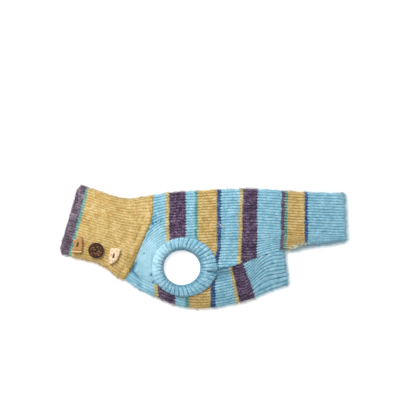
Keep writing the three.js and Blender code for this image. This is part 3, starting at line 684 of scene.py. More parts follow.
# The profile's place at an angle: edge + (hole - edge)*share, plus the stitch height along the profile's normal
def knitCuff(name, profile, topRows, samples, sizes, material, slot, facing):
    f = cuffForm
    top, under = cuffSection(profile, topRows, sizes)
    path = np.concatenate([top, under])
    share, z = path[:, 0] / f["width"], path[:, 1]
    along = np.roll(path, -1, axis=0) - np.roll(path, 1, axis=0)
    along /= np.linalg.norm(along, axis=1)[:, None]
    sideways, upright = -along[None, :, 1] * facing, along[None, :, 0] * facing
    w, k = np.meshgrid(np.arange(f["wales"] * samples) / samples, np.arange(len(path)), indexing="ij")
    run = np.concatenate(([0], np.cumsum(np.linalg.norm(np.diff(top, axis=0), axis=1))))
    row = np.concatenate([run, np.full(len(under), run[-1])]) / knit["rowPitch"]
    weight = ramp(run, -0.5, 2.0) * (1 - 0.4 * ramp(run, run[-1] - 3, run[-1]))   # softer at both ends
    height, phase = stitch(w, row[None] + 0 * w)
    angle = 2 * np.pi * w / f["wales"] + 0.012 * softNoise(w, k / 4, 1.7, 31)
    # the ribs fade towards the outer edge on the side that faces the neck
    plainSide = bell(angle, f["plainAt"], f["plainReach"])
    plain = plainSide * (1 - ramp(share, 0.3, 0.6)[None])
    height = height * (1 - f["plainCalm"] * plain) + f["plainLevel"] * plain
    height = height * np.concatenate([weight, np.zeros(len(under))])[None]
    apart = np.abs(np.mod(angle - f["notchAt"] + np.pi, 2 * np.pi) - np.pi)   # angle from the pull beside the seam
    notched = bell(apart, 0, f["notchReach"])
    direction = np.stack([np.cos(angle), np.sin(angle)], axis=-1)
    bulge = f["bulge"] * bell(apart, 0, f["bulgeReach"])[..., None]
    outerEdge = np.array([cuffRing["x"], cuffRing["y"]]) + direction * (
        np.array([cuffRing["across"], cuffRing["up"]]) + bulge)
    holeEdge = np.array([legHole["x"], legHole["y"]]) + direction * np.array([legHole["across"], legHole["up"]])
    inward = holeEdge - outerEdge
    towards = unit(inward)
    lift = (f["relief"] if facing > 0 else f["farRelief"]) * height
    plan = outerEdge + inward * share[None, :, None] + towards * (lift * sideways)[..., None]
    z = z[None] + lift * upright
    if facing > 0:
        notch = f["notch"] * notched * (1 - ramp(share, 0.45, 0.75)[None]) * (np.arange(len(path)) < sizes[0])
        drop = f["plainDrop"] * plainSide * (1 - ramp(share, 0, 0.4)[None])
        z = z + f["swellShare"] * swell(plan[..., 0], plan[..., 1]) - notch - drop
    points = np.concatenate([plan, z[..., None]], axis=-1)
    n, m = points.shape[:2]
    quads = gridQuads(n, m)
    if facing < 0:
        quads = quads[:, ::-1]
    points, uv = points.reshape(-1, 3), np.stack([w, phase], axis=-1).reshape(-1, 2)
    relief = height * (1 - 0.55 * ramp(share, 0.6, 0.95)[None])
    # painted shade: darker in the notch and round it, on the lower side of the ring and towards the hole
    deep = f["notchShade"] * notched * (1 - ramp(share, 0.4, 0.7)[None])
    deep = deep + f["aroundNotchShade"] * bell(apart, 0, f["aroundReach"]) * (1 - ramp(share, 0.1, 0.35)[None])
    deep = deep + f["lowerShade"] * ramp(-np.sin(angle), 0.1, 0.9)
    deep = np.minimum(deep + f["holeShade"] * ramp(share, 0.62, 0.92)[None], f["mostShade"])
    piece = writePiece(name, points, [quads], material, slot, uv, relief=relief.ravel(), deep=deep.ravel())
    print(name, 2 * len(quads), "triangles")
    normal = np.concatenate([towards * sideways[..., None], np.broadcast_to(upright[..., None], (n, m, 1))], axis=-1)
    shown = (np.arange(len(quads)) % m) < sizes[0] - 1
    return piece, {"points": points, "uv": uv, "normal": normal.reshape(-1, 3), "quads": quads[shown]}


# sRGB hex to the linear colour that the shader takes
def linear(hexColour):
    value = [int(hexColour[i:i + 2], 16) / 255 for i in (1, 3, 5)]
    return [v / 12.92 if v <= 0.04045 else ((v + 0.055) / 1.055)**2.4 for v in value] + [1.0]


# Adds a node with its settings and links, and gives back one of its outputs. inputs maps a socket to a value, to a
# colour as hex, or to another node's output.
def addNode(tree, kind, inputs=None, out=0, **settings):
    node = tree.nodes.new("ShaderNode" + kind)
    for key, value in settings.items():
        setattr(node, key, value)
    for socket, value in (inputs or {}).items():
        if isinstance(value, bpy.types.NodeSocket):
            tree.links.new(value, node.inputs[socket])
        else:
            node.inputs[socket].default_value = linear(value) if isinstance(value, str) else value
    return node.outputs[out] if len(node.outputs) else node


# How addNode sets a node that mixes two colours: factor in 0, colours in 6 and 7
twoColours = {"out": 2, "data_type": "RGBA"}


def emptyMaterial(name):
    material = bpy.data.materials.new(name)
    material.use_nodes = True
    material.node_tree.nodes.clear()
    return material, partial(addNode, material.node_tree)


# Brushed mohair and wool yarns: each is dyed unevenly, so it has a light, a middle and a dark, a deep colour that is
# painted shade for the gap between two ribs and for creases, and an accent, the brighter dye of one of its plies.
yarns = {
    "sky": ("#a6cbd7", "#7ca9ba", "#578ca2", "#1f5a75", "#6aa9bf"),
    "straw": ("#cfc49a", "#aca06e", "#867b54", "#575640", "#b6984e"),
    "plum": ("#8a7890", "#3c3046", "#170f1c", "#100914", "#46224a"),
    "heather": ("#988c96", "#4b3e4a", "#241b23", "#160f14", "#5a3a5c"),
    "teal": ("#88b4ac", "#528a84", "#386662", "#24484a", "#4a8a7c"),
    "mustard": ("#cdbd90", "#b39a60", "#8d7238", "#69531f", "#b78a40"),
    "navy": ("#5f7ea2", "#2a4268", "#141f38", "#0d1424", "#28487e"),
    # the sky yarn made paler for the raised cuff: painted light
    "lit sky": ("#b4d6e0", "#86b2c2", "#5c90a5", "#1f5a75", "#74b0c4"),
    "undyed": ("#e2dcc8", "#cec6b0", "#b4ab96", "#8f8776", "#d8d0ba"),
}


# One tone of each yarn in turn over the rows; after the first stripe each tone is scaled by shade, painted shade
# below 1 and painted light above 1
def stripeRamp(add, row, stripes, tone, shade):
    output = add("ValToRGB", {"Fac": row})
    colours = output.node.color_ramp
    colours.interpolation = "CONSTANT"
    colours.elements.remove(colours.elements[1])
    total, start = sum(s[1] for s in stripes), 0
    for index, (yarn, rows, _) in enumerate(stripes):
        stop = colours.elements[0] if index == 0 else colours.elements.new(start / total)
        stop.position = start / total
        stop.color = [c * (1.0 if index == 0 else shade) for c in linear(yarns[yarn][tone])[:3]] + [1.0]
        start += rows
    return output


# Sizes of the yarn's pattern. A tone is the sum of three noises, each with a share; ranges say where a colour starts
# and where it is full.
wool = {
    "tuft": 1.8, "frayRows": 1.05,        # mm, and how many rows a yarn crosses its border by
    "dyePatch": 9.0, "dyeShare": 0.4,     # patches of dye, mm
    "fleck": (2.2, 0.7, 1.0), "fleckShare": 0.6,   # flecks of two plies, in a rib and in a row
    "speck": 1.5, "speckShare": 0.5,      # specks of fluff, mm
    "ply": 2.6, "plyRange": (0.48, 0.62), "plyShare": 0.75,   # lengths of the brighter ply, mm
    "lightRange": (0.76, 0.93), "darkRange": (0.75, 0.57),
    "brushedRange": (1.25, 0.45), "brushedHeight": 0.12, "brushedCalm": 0.75,
    # the stitch crests take a painted highlight and the gaps painted shade, both set by the relief
    "crestHighlightRange": (0.7, 1.05), "crestHighlightShare": 0.3, "gapFrom": 0.1,
    "ribNoise": (1.3, 0.16, 1.0), "ribRange": (0.35, 0.65), "ribShares": (0.35, 1.1),
    "hairShare": 0.55,                    # a single hair lets light through, so it is paler than the yarn
    "streak": (14.0, 3.0, 1.0), "streakDepth": 0.35,   # fibres along the stitch legs, about 0.25 mm apart
}
# Oversewn ends at the tail's lower edge: cream up to X 134 mm, then grey blue
fringeYarn = {"tuft": 2.2, "range": (0.44, 0.56), "cream": "#c2c4a8", "greyBlue": "#74909c", "shade": "#557988",
              "blueRange": (0.134, 0.142)}


# Brushed wool and mohair rib knit: matt, with a soft sheen from the raised fibres, painted shade in the gaps and a
# painted highlight on the crests. The gap settings say how far the gaps take the painted shade and up to which
# height, the patch setting how pale the brushed patch is, from its raised fibres and painted light, and shade scales
# the tones after the first stripe: painted shade below 1, painted light above 1.
def knitMaterial(name, stripes, fibre=False, gapShadeShare=0.9, gapShadeTo=0.6, hazeAndLight=0.85, shade=1.0):
    material, add = emptyMaterial(name)
    f, p = wool, brushedPatch
    uv = add("UVMap", uv_map="surfaceMap")
    place = add("TexCoord", out="Object")
    fray = add("TexNoise", {"Vector": place, "Scale": 1 / (f["tuft"] * mm), "Detail": 2.0, "Roughness": 0.7})
    frayed = add("Math", {0: fray, 1: 2 * f["frayRows"], 2: -f["frayRows"]}, operation="MULTIPLY_ADD")
    moved = add("Math", {0: add("SeparateXYZ", {"Vector": uv}, out="Y"), 1: frayed}, operation="ADD")
    row = add("Math", {0: moved, 1: float(sum(s[1] for s in stripes))}, operation="DIVIDE")
    light, middle, dark, deep, accent = [stripeRamp(add, row, stripes, tone, shade) for tone in range(5)]

    dye = add("TexNoise", {"Vector": place, "Scale": 1 / (f["dyePatch"] * mm), "Detail": 2.0, "Roughness": 0.6})
    fleckPlace = add("Mapping", {"Vector": uv, "Scale": f["fleck"]})
    fleck = add("TexNoise", {"Vector": fleckPlace, "Scale": 1.0, "Detail": 3.0, "Roughness": 0.7})
    speck = add("TexNoise", {"Vector": place, "Scale": 1 / (f["speck"] * mm), "Detail": 1.0})
    tone = add("Math", {0: dye, 1: f["dyeShare"]}, operation="MULTIPLY")
    for noise, share in ((fleck, f["fleckShare"]), (speck, f["speckShare"])):
        tone = add("Math", {0: noise, 1: share, 2: tone}, operation="MULTIPLY_ADD")
    ply = add("TexNoise", {"Vector": place, "Scale": 1 / (f["ply"] * mm), "Detail": 2.0})
    toAccent, toLight, toDark = [
        add("MapRange", {"Value": noise, "From Min": low, "From Max": high, "To Max": most})
        for noise, (low, high), most in ((ply, f["plyRange"], f["plyShare"]), (tone, f["lightRange"], 1.0),
                                         (tone, f["darkRange"], 1.0))]
    middle = add("Mix", {0: toAccent, 6: middle, 7: accent}, **twoColours)
    yarn = add("Mix", {0: toLight, 6: middle, 7: light}, **twoColours)
    yarn = add("Mix", {0: toDark, 6: yarn, 7: dark}, **twoColours)

    # the brushed patch, paler from its raised fibres and from painted light: distance from its middle, in its own
    # reach
    reaches = (p["reachX"], p["reachY"], p["reachY"])
    squeezed = add("Mapping", {"Vector": place, "Scale": [1 / reach / mm for reach in reaches]})
    middlePlace = (p["x"] / p["reachX"], p["y"] / p["reachY"], f["brushedHeight"])
    away = add("VectorMath", {0: squeezed, 1: middlePlace}, out="Value", operation="DISTANCE")
    brushedAndLit = add("MapRange", {"Value": away, "From Min": f["brushedRange"][0], "From Max": f["brushedRange"][1],
                               "To Max": hazeAndLight})
    paleRaisedAndLit = add("Mix", {0: toDark, 6: light, 7: middle}, **twoColours)
    colour = add("Mix", {0: brushedAndLit, 6: yarn, 7: paleRaisedAndLit}, **twoColours)

    surface = {"Roughness": 0.95, "Sheen Weight": 0.4, "Sheen Roughness": 0.5, "Sheen Tint": light,
               "Specular IOR Level": 0.2}
    if fibre:
        colour = add("Mix", {0: f["hairShare"], 6: colour, 7: light}, **twoColours)
    else:
        relief = add("Attribute", out="Fac", attribute_name="relief")
        # painted highlight: the crests of the stitches, where the relief is high, take the light tone
        crestHighlight = add("MapRange", {"Value": relief, "From Min": f["crestHighlightRange"][0], "From Max": f["crestHighlightRange"][1],
                                 "To Max": f["crestHighlightShare"]})
        colour = add("Mix", {0: crestHighlight, 6: colour, 7: light}, **twoColours)
        # painted shade: the gaps between ribs, where the relief is low, take the deep colour
        gapShade = add("MapRange", {"Value": relief, "From Min": f["gapFrom"], "From Max": gapShadeTo, "To Min": gapShadeShare,
                               "To Max": 0.0})
        # no two gaps take the same painted shade: noise that changes from rib to rib and slowly along one
        ribPlace = add("Mapping", {"Vector": uv, "Scale": f["ribNoise"]})
        differ = add("TexNoise", {"Vector": ribPlace, "Scale": 1.0, "Detail": 1.0})
        share = add("MapRange", {"Value": differ, "From Min": f["ribRange"][0], "From Max": f["ribRange"][1],
                                 "To Min": f["ribShares"][0], "To Max": f["ribShares"][1]})
        depth = add("Math", {0: gapShade, 1: share}, operation="MULTIPLY", use_clamp=True)
        calm = add("Math", {0: brushedAndLit, 1: -f["brushedCalm"], 2: 1.0}, operation="MULTIPLY_ADD")
        depth = add("Math", {0: depth, 1: calm}, operation="MULTIPLY")
        # painted shade: the gaps, then the creases and eyelets, take the deep colour
        creaseShadeIn = add("Attribute", out="Fac", attribute_name="deep")
        for amount in (depth, creaseShadeIn):
            colour = add("Mix", {0: amount, 6: colour, 7: deep}, **twoColours)
        g = fringeYarn
        ends = add("TexNoise", {"Vector": place, "Scale": 1 / (g["tuft"] * mm), "Detail": 2.0})
        endTone = add("MapRange", {"Value": ends, "From Min": g["range"][0], "From Max": g["range"][1]})
        blueFrom = add("MapRange", {"Value": add("SeparateXYZ", {"Vector": place}), "From Min": g["blueRange"][0],
                                    "From Max": g["blueRange"][1]})
        pale = add("Mix", {0: blueFrom, 6: g["cream"], 7: g["greyBlue"]}, **twoColours)
        endColour = add("Mix", {0: endTone, 6: g["shade"], 7: pale}, **twoColours)
        fringe = add("Attribute", out="Fac", attribute_name="fringe")
        colour = add("Mix", {0: fringe, 6: colour, 7: endColour}, **twoColours)
        streakPlace = add("Mapping", {"Vector": uv, "Scale": f["streak"]})
        streaks = add("TexNoise", {"Vector": streakPlace, "Scale": 1.0, "Detail": 4.0, "Roughness": 0.75})
        surface["Normal"] = add("Bump", {"Height": streaks, "Distance": f["streakDepth"] * mm, "Strength": 0.6})
    add("OutputMaterial", {"Surface": add("BsdfPrincipled", {"Base Color": colour, **surface})})
    return material


# the cuff takes the sky yarn made paler, painted light
skyOnly = [("lit sky", 40, 40)]
bodyKnit = knitMaterial("brushed wool rib, back stripes", backStripes, gapShadeShare=1.0)
# after the first stripe the belly's tones are darkened, painted shade, and the collar's mustard is lightened, painted
# light
bellyKnit = knitMaterial("brushed wool rib, belly stripes", bellyStripes, gapShadeShare=1.0, hazeAndLight=0.75, shade=0.89)
collarKnit = knitMaterial("brushed wool rib, mustard", collarStripes, gapShadeShare=0.35, hazeAndLight=0.0, shade=1.03)
cuffKnit = knitMaterial("brushed wool rib, sky blue", skyOnly, gapShadeShare=1.0, gapShadeTo=0.8, hazeAndLight=0.6)

back, backSkin = knitPanel("back_knit", backPlace, backStripes, backForm["wales"], *backOutline(), False,
                           bodyKnit, "knit_body")
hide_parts("back_panel")
belly, bellySkin = knitPanel("belly_knit", bellyPlace, bellyStripes, bellyForm["wales"], *bellyOutline(), True,
                             bellyKnit, "knit_body")
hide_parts("belly_panel")
collar, collarSkin = knitCollar("collar_knit", collarKnit, "knit_collar")
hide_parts("collar")
nearCuff, nearSkin = knitCuff("cuff_near_knit", nearProfile, nearTop, 8, (36, 14), cuffKnit, "knit_cuff", 1)
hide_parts("leg_cuff_near")
farCuff, _ = knitCuff("cuff_far_knit", farProfile, farTop, 4, (20, 10), cuffKnit, "knit_cuff", -1)
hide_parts("leg_cuff_far")


# Buttons: centre, height of the underside and top, outline and thread holes from the centre, all as the solids.
buttons = {
    "wood": {"node": "button_wood", "centre": (-162.7, 1.8), "low": 6.8, "high": 10.0, "round": 0.9,
             "crown": 0.25, "uneven": 0.10, "holes": [(0.9, 2.4), (-0.5, -1.3)],
             "outline": [(5.3, 10.8), (6.7, 1.8), (5.8, -8.0), (3.2, -10.8), (-7.2, -9.5), (-6.7, -5.6),
                         (-4.7, -0.4), (-6.0, 3.4), (-4.7, 6.6), (0.3, 8.9)]},
    "coconut": {"node": "button_coconut", "centre": (-138.6, -5.2), "low": 7.23, "high": 10.63, "round": 0.8,
                "crown": -0.35, "uneven": 0.22, "holes": [(0.8, 2.0), (-0.8, -2.0)],
                "outline": [(10 * math.cos(a), -10 * math.sin(a)) for a in np.arange(16) * math.pi / 8]},
    "horn": {"node": "button_horn", "centre": (-114.8, -12.6), "low": 7.11, "high": 10.31, "round": 1.1,
             "crown": 0.5, "uneven": 0.10, "holes": [(-0.2, 2.3), (-1.6, -1.6)],
             "outline": [(-1.9, 10.4), (3.1, 10.4), (7.0, 8.8), (7.5, 5.3), (4.0, -4.0), (-0.1, -8.1),
                         (-4.8, -10.5), (-7.4, -9.1), (-7.4, -5.6), (-5.8, 6.4), (-4.4, 9.2)]},
}
# A plate's grid in mm and in points round its edge and holes; low and high flatten the ellipse of its rounding
plate = {"around": 96, "levels": 5, "low": 0.8, "high": 0.9, "hole": 1.1, "aroundHole": 16, "step": 0.7,
         "widest": 12, "apart": 0.35, "crownReach": 9.0, "unevenSize": 1.4, "mapUnit": 10}


# A plate: the rounded wall is the outline moved in along a quarter ellipse at top and bottom, the faces are
# triangles between outline and holes, and each hole's wall joins them. The top's height adds
# crown * (1 - (distance/reach)^2) and a fine unevenness.
def buttonPiece(kind, material):
    f, p = buttons[kind], plate
    around, low, high = p["around"], f["low"], f["high"]
    edgeLine = smoothLine(np.array(f["outline"])[::-1], around, closed=True)
    curve = [(f["round"] * (1 - math.sin(a)), f["round"] * (1 - math.cos(a)))
             for a in np.linspace(0, np.pi / 2, p["levels"])]
    wall = [(inset, low + rise * p["low"]) for inset, rise in curve]
    wall += [(rise, high - inset * p["high"]) for inset, rise in curve]
    rings = [movedIn(edgeLine, np.full(around, inset)) for inset, _ in wall]
    clear = lambda places, reach: np.all([((places - np.array(h))**2).sum(1) > reach**2 for h in f["holes"]], 0)
    lines = np.arange(-p["widest"], p["widest"], p["step"])
    grid = np.stack(np.meshgrid(lines, lines), axis=-1).reshape(-1, 2)
    shrunk = movedIn(edgeLine, np.full(around, f["round"] + p["apart"]))
    grid = grid[insideOutline(grid, shrunk) & clear(grid, p["hole"] + p["apart"])]
    holes = [ringLine({"x": x, "y": y, "across": p["hole"], "up": p["hole"]}, 0, p["aroundHole"])
             for x, y in f["holes"]]
    flat = np.concatenate([rings[-1]] + holes + [grid])
    sizes = [around] + [p["aroundHole"]] * len(holes)
    starts = np.cumsum([0] + sizes[:-1])
    bounds = [(int(a + i), int(a + (i + 1) % n)) for a, n in zip(starts, sizes) for i in range(n)]
    made = delaunay_2d_cdt([Vector(point) for point in flat], bounds, [], 0, 1e-6)
    tris = np.array([[made[3][v][0] for v in t] for t in made[2]])
    centre = flat[tris].mean(1)
    tris = tris[insideOutline(centre, rings[-1]) & clear(centre, p["hole"] * 0.98)]
    e1, e2 = flat[tris[:, 1]] - flat[tris[:, 0]], flat[tris[:, 2]] - flat[tris[:, 0]]
    turned = (e1[:, 0] * e2[:, 1] - e1[:, 1] * e2[:, 0]) < 0
    tris[turned] = tris[turned][:, ::-1]

    crown = f["crown"] * np.clip(1 - (flat**2).sum(1) / p["crownReach"]**2, 0, 1)
    uneven = f["uneven"] * softNoise(flat[:, 0] + 40, flat[:, 1] + 40, p["unevenSize"], 51)
    count = len(flat)
    top = high + (crown + uneven) * (np.arange(count) >= around)
    bottom = np.column_stack([flat, np.full(count, low)])
    bottom[:around, :2] = rings[0]   # the bottom face reaches the lowest ring
    between = [np.column_stack([ring, np.full(around, z)]) for ring, (_, z) in zip(rings[1:-1], wall[1:-1])]
    points = np.concatenate([np.column_stack([flat, top]), bottom] + between)
    i = np.arange(around)
    j = (i + 1) % around
    levels = [count + i] + [2 * count + n * around + i for n in range(len(between))] + [i]
    quads = [np.stack([a[i], a[j], b[j], b[i]], axis=1) for a, b in zip(levels[:-1], levels[1:])]
    for start, n in zip(starts[1:], sizes[1:]):
        k, k2 = start + np.arange(n), start + (np.arange(n) + 1) % n
        quads.append(np.stack([k, k2, count + k2, count + k], axis=1))
    uv = points[:, :2] / p["mapUnit"]
    points[:, :2] += f["centre"]
    faces = [tris, tris[:, ::-1] + count, np.concatenate(quads)]
    piece = writePiece(f["node"] + "_shaped", points, faces, material, f["node"], uv)
    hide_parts(f["node"])
    return piece


# A tube along a path with flat ends: path + radius*(cos(t)*side + sin(t)*up)
def tubeAlong(path, side, up, radius, sides):
    turn = np.linspace(0, 2 * np.pi, sides, endpoint=False)[None, :, None]
    ring = np.cos(turn) * side[:, None] + np.sin(turn) * up[:, None]
    points = path[:, None] + radius[:, None, None] * ring
    i, j = np.meshgrid(np.arange(len(path) - 1), np.arange(sides), indexing="ij")
    j2 = (j + 1) % sides
    walls = np.stack([i * sides + j, i * sides + j2, (i + 1) * sides + j2, (i + 1) * sides + j], axis=-1)
    cap = np.array([[0, k + 2, k + 1, k] for k in range(1, sides - 1, 2)])
    quads = np.concatenate([walls.reshape(-1, 4), cap, cap[:, ::-1] + (len(path) - 1) * sides])
    return points.reshape(-1, 3), quads


# Several meshes as one: their points, and their faces counted on
def joined(parts):
    starts = np.cumsum([0] + [len(points) for points, _ in parts])
    return (np.concatenate([points for points, _ in parts]),
            np.concatenate([quads + start for start, (_, quads) in zip(starts, parts)]))


threadForm = {"strands": (-0.42, 0.42), "radius": 0.4, "sides": 8, "steps": 17, "above": 0.35, "arch": 0.25,
              "crownShare": 0.9, "depth": 2.2}


# Two strands of thread from hole to hole: a tube that rises from one hole's depth, runs over the top and dips
# into the other
def threadPiece(kind, material):
    f, g = buttons[kind], threadForm
    a, b = np.array(f["holes"])
    side = np.array([-(b - a)[1], (b - a)[0]]) / np.linalg.norm(b - a)
    t = np.linspace(0, 1, g["steps"])
    arch = np.sin(np.pi * t)
    tubes = []
    for shift in g["strands"]:
        plan = a + (b - a) * (0.5 - 0.5 * np.cos(np.pi * t))[:, None] + side * shift * (0.5 + 0.5 * arch)[:, None]
        z = f["high"] + g["above"] + f["crown"] * g["crownShare"] + g["arch"] * arch
        path = np.column_stack([plan + np.array(f["centre"]), z - g["depth"] * np.abs(2 * t - 1)**4])
        along = unit(np.gradient(path, axis=0))
        across = unit(np.cross(along, np.append(side, 0)))
        tubes.append(tubeAlong(path, across, np.cross(along, across), np.full(len(t), g["radius"]), g["sides"]))
    points, quads = joined(tubes)
    return writePiece(f["node"] + "_thread", points, [quads], material, f["node"])


# Button materials read the plan of each button, one unit of the map being 10 mm. A look gives the shader's inputs.
def buttonMaterial(name, look):
    material, add = emptyMaterial(name)
    shader = add("BsdfPrincipled", look(add, add("UVMap", uv_map="surfaceMap")))
    add("OutputMaterial", {"Surface": shader})
    return material


# Olive wood cut across a twig and sanded: warm tan with darker growth lines, and at one end a painted highlight line
# on the bevel with painted shade in the groove beside it
def woodLook(add, uv):
    turned = add("Mapping", {"Vector": uv, "Rotation": (0, 0, math.radians(-12)), "Scale": (3.0, 11.0, 1)})
    grain = add("TexNoise", {"Vector": turned, "Scale": 1.0, "Detail": 4.0, "Roughness": 0.65})
    level = add("MapRange", {"Value": grain, "From Min": 0.35, "From Max": 0.65})
    colour = add("Mix", {0: level, 6: "#7a5228", 7: "#b0864c"}, **twoColours)
    x, y = [add("SeparateXYZ", {"Vector": uv}, out=axis) for axis in "XY"]
    tilted = add("Math", {0: x, 1: 0.06, 2: y}, operation="MULTIPLY_ADD")
    for at, line in ((-0.82, "#d6b682"), (-0.72, "#6e4420")):   # painted highlight on the bevel, then painted shade in the groove beside it
        onLine = add("Math", {0: tilted, 1: at, 2: 0.05}, operation="COMPARE")
        colour = add("Mix", {0: onLine, 6: colour, 7: line}, **twoColours)
    bump = add("Bump", {"Height": grain, "Distance": 0.15 * mm, "Strength": 0.5})
    return {"Base Color": colour, "Normal": bump, "Roughness": 0.45}


# Coconut shell, cut as a disc and left rough: near black with brown fibre ends and pale scratches
def coconutLook(add, uv):
    cells = add("TexNoise", {"Vector": uv, "Scale": 7.0, "Detail": 5.0, "Roughness": 0.8, "Distortion": 1.5})
    level = add("MapRange", {"Value": cells, "From Min": 0.45, "From Max": 0.58})
    colour = add("Mix", {0: level, 6: "#1c0e08", 7: "#54301c"}, **twoColours)
    turned = add("Mapping", {"Vector": uv, "Rotation": (0, 0, math.radians(35)), "Scale": (3.0, 8.0, 1)})
    streak = add("TexNoise", {"Vector": turned, "Scale": 1.0, "Detail": 3.0})
    pale = add("MapRange", {"Value": streak, "From Min": 0.55, "From Max": 0.63, "To Max": 0.8})
    colour = add("Mix", {0: pale, 6: colour, 7: "#a57c5a"}, **twoColours)
    middle = add("VectorMath", {0: uv}, out="Value", operation="LENGTH")
    rim = add("MapRange", {"Value": middle, "From Min": 0.74, "From Max": 0.86})
    colour = add("Mix", {0: rim, 6: colour, 7: "#2a1812"}, **twoColours)
    bump = add("Bump", {"Height": cells, "Distance": 0.6 * mm, "Strength": 0.9})
    return {"Base Color": colour, "Normal": bump, "Roughness": 0.75, "Specular IOR Level": 0.2}


# Cow horn, sawn and polished: cream with soft tan and pink clouds
def hornLook(add, uv):
    clouds = add("TexNoise", {"Vector": uv, "Scale": 4.5, "Detail": 4.0, "Roughness": 0.7, "Distortion": 0.8})
    level = add("MapRange", {"Value": clouds, "From Min": 0.46, "From Max": 0.58})
    colour = add("Mix", {0: level, 6: "#d8c3a4", 7: "#b48a66"}, **twoColours)
    spots = add("TexNoise", {"Vector": uv, "Scale": 11.0, "Detail": 3.0})
    dark = add("MapRange", {"Value": spots, "From Min": 0.6, "From Max": 0.72, "To Max": 0.4})
    colour = add("Mix", {0: dark, 6: colour, 7: "#a2745a"}, **twoColours)
    bump = add("Bump", {"Height": clouds, "Distance": 0.4 * mm, "Strength": 0.6})
    return {"Base Color": colour, "Normal": bump, "Roughness": 0.35}


# Waxed button thread, nearly black
def threadLook(add, uv):
    twist = add("TexNoise", {"Scale": 1 / (0.4 * mm), "Detail": 2.0})
    return {"Base Color": add("Mix", {0: twist, 6: "#120e0c", 7: "#2c2420"}, **twoColours), "Roughness": 0.7}


thread = buttonMaterial("waxed thread", threadLook)
for kind, look, finish in (("wood", woodLook, "olive wood, sanded"),
                           ("coconut", coconutLook, "coconut shell, rough"),
                           ("horn", hornLook, "cow horn, polished")):
    buttonPiece(kind, buttonMaterial(finish, look))
    threadPiece(kind, thread)
print("buttons made")


# Roots for fibres: a random cell of a knit surface, picked by its area times a weight, and a random place in it
def scatter(skin, count, weight, random):
    points, quads = skin["points"], skin["quads"]
    chance = quadAreas(points, quads) * weight(points[quads].mean(1), skin["normal"][quads[:, 0]])
    corners = quads[random.choice(len(quads), count, p=chance / chance.sum())]
    a, b = random.uniform(size=(2, count, 1))
    shares = ((1 - a) * (1 - b), a * (1 - b), a * b, (1 - a) * b)
    read = lambda field: sum(share * field[corner] for share, corner in zip(shares, corners.T))
    return read(points), unit(read(skin["normal"])), read(skin["uv"])


# Mohair nap: lengths and radii in mm. A length is the middle one times exp(spread * a normal number).
fuzz = {"surface": 1.9, "surfaceSpread": 0.4, "surfaceRange": (0.8, 5), "surfaceLean": (0.05, 0.6),
        "edgeSpread": 0.6, "edge": 4.6, "edgeRange": (1.2, 12.0), "edgeLean": (0.4, 2.6), "bend": 0.55,
        "radius": 0.055, "edgeRadius": 0.06, "radiusShare": (0.7, 1.3), "rooted": 0.2, "kneeShare": 0.8,
        "nearFrom": 3, "farRise": 0.3, "table": 0.05,
        "rimSpread": 0.8, "rimHeight": (0.6, 1.0)}


# Fibres as thin three-sided spikes: p(t) from the root along a direction that bends halfway, radius falling to 0
def fibres(name, roots, normals, leans, lengths, radius, bend, uv, material, slot, random):
    count = len(roots)
    tangent = unit(np.cross(normals, random.normal(size=(count, 3))))
    first = unit(tangent + normals * leans[:, None])
    second = first + bend * random.normal(size=(count, 3))
    second[:, 2] = np.where(roots[:, 2] > fuzz["nearFrom"], second[:, 2], np.abs(second[:, 2]) * fuzz["farRise"])
    knee = roots + first * (lengths * 0.5)[:, None]
    tip = knee + unit(second) * (lengths * 0.5)[:, None]
    side = unit(np.cross(first, random.normal(size=(count, 3))))[:, None]
    turn = (np.arange(3) * 2 * np.pi / 3)[None, :, None]
    ring = (np.cos(turn) * side + np.sin(turn) * np.cross(first[:, None], side)) * radius[:, None, None]
    base = (roots - fuzz["rooted"] * normals)[:, None] + ring
    if bend > 0:
        points = np.concatenate([base, knee[:, None] + fuzz["kneeShare"] * ring, tip[:, None]], axis=1)
        quads = np.array([[0, 1, 4, 3], [1, 2, 5, 4], [2, 0, 3, 5]])
        tris = np.array([[3, 4, 6], [4, 5, 6], [5, 3, 6], [0, 2, 1]])
    else:
        points = np.concatenate([base, tip[:, None]], axis=1)
        quads = np.zeros((0, 4), int)
        tris = np.array([[0, 1, 3], [1, 2, 3], [2, 0, 3], [0, 2, 1]])
    size = points.shape[1]
    start = (np.arange(count) * size)[:, None, None]
    points = points.reshape(-1, 3)
    points[:, 2] = np.maximum(points[:, 2], fuzz["table"])
    faces = [f for f in ((quads + start).reshape(-1, 4), (tris + start).reshape(-1, 3)) if len(f)]
    piece = writePiece(name, points, faces, material, slot, np.repeat(uv, size, axis=0))
    print(name, count, "fibres,", sum(len(f) * (f.shape[1] - 2) for f in faces), "triangles")
    return piece


# Few fibres on the side that lies on the table, more on the soft wedge of rows by the neck
wedge = {"x": -62, "y": -22, "reachX": 22, "reachY": 30, "more": 0.8, "under": 0.12}


def nearWeight(centre, normal):
    g = wedge
    inWedge = np.exp(-((centre[:, 0] - g["x"]) / g["reachX"])**2 - ((centre[:, 1] - g["y"]) / g["reachY"])**2)
    return np.where(normal[:, 2] < -0.6, g["under"], 1 + g["more"] * inWedge)


# Where the knit turns at a fold, clear of the table
def foldWeight(centre, normal):
    return np.where(np.abs(normal[:, 2]) < 0.75, 1.0, 0.0) * (centre[:, 2] > 0.8)


# The tail: where it starts, how near its lower edge, where navy fibres lie, the rows whose yarn they take, and
# where more of them stand
tailFibres = {"from": 112, "above": 3, "skyShare": 0.7, "skyRow": 6.0, "navyFrom": 140, "navyTo": 172,
              "navyShare": 0.25, "navyRow": 54.0, "hem": 180, "hemMore": 1.6, "corner": (40, 70),
              "cornerMore": 1.2, "lower": 12, "lowerMore": 1.6}


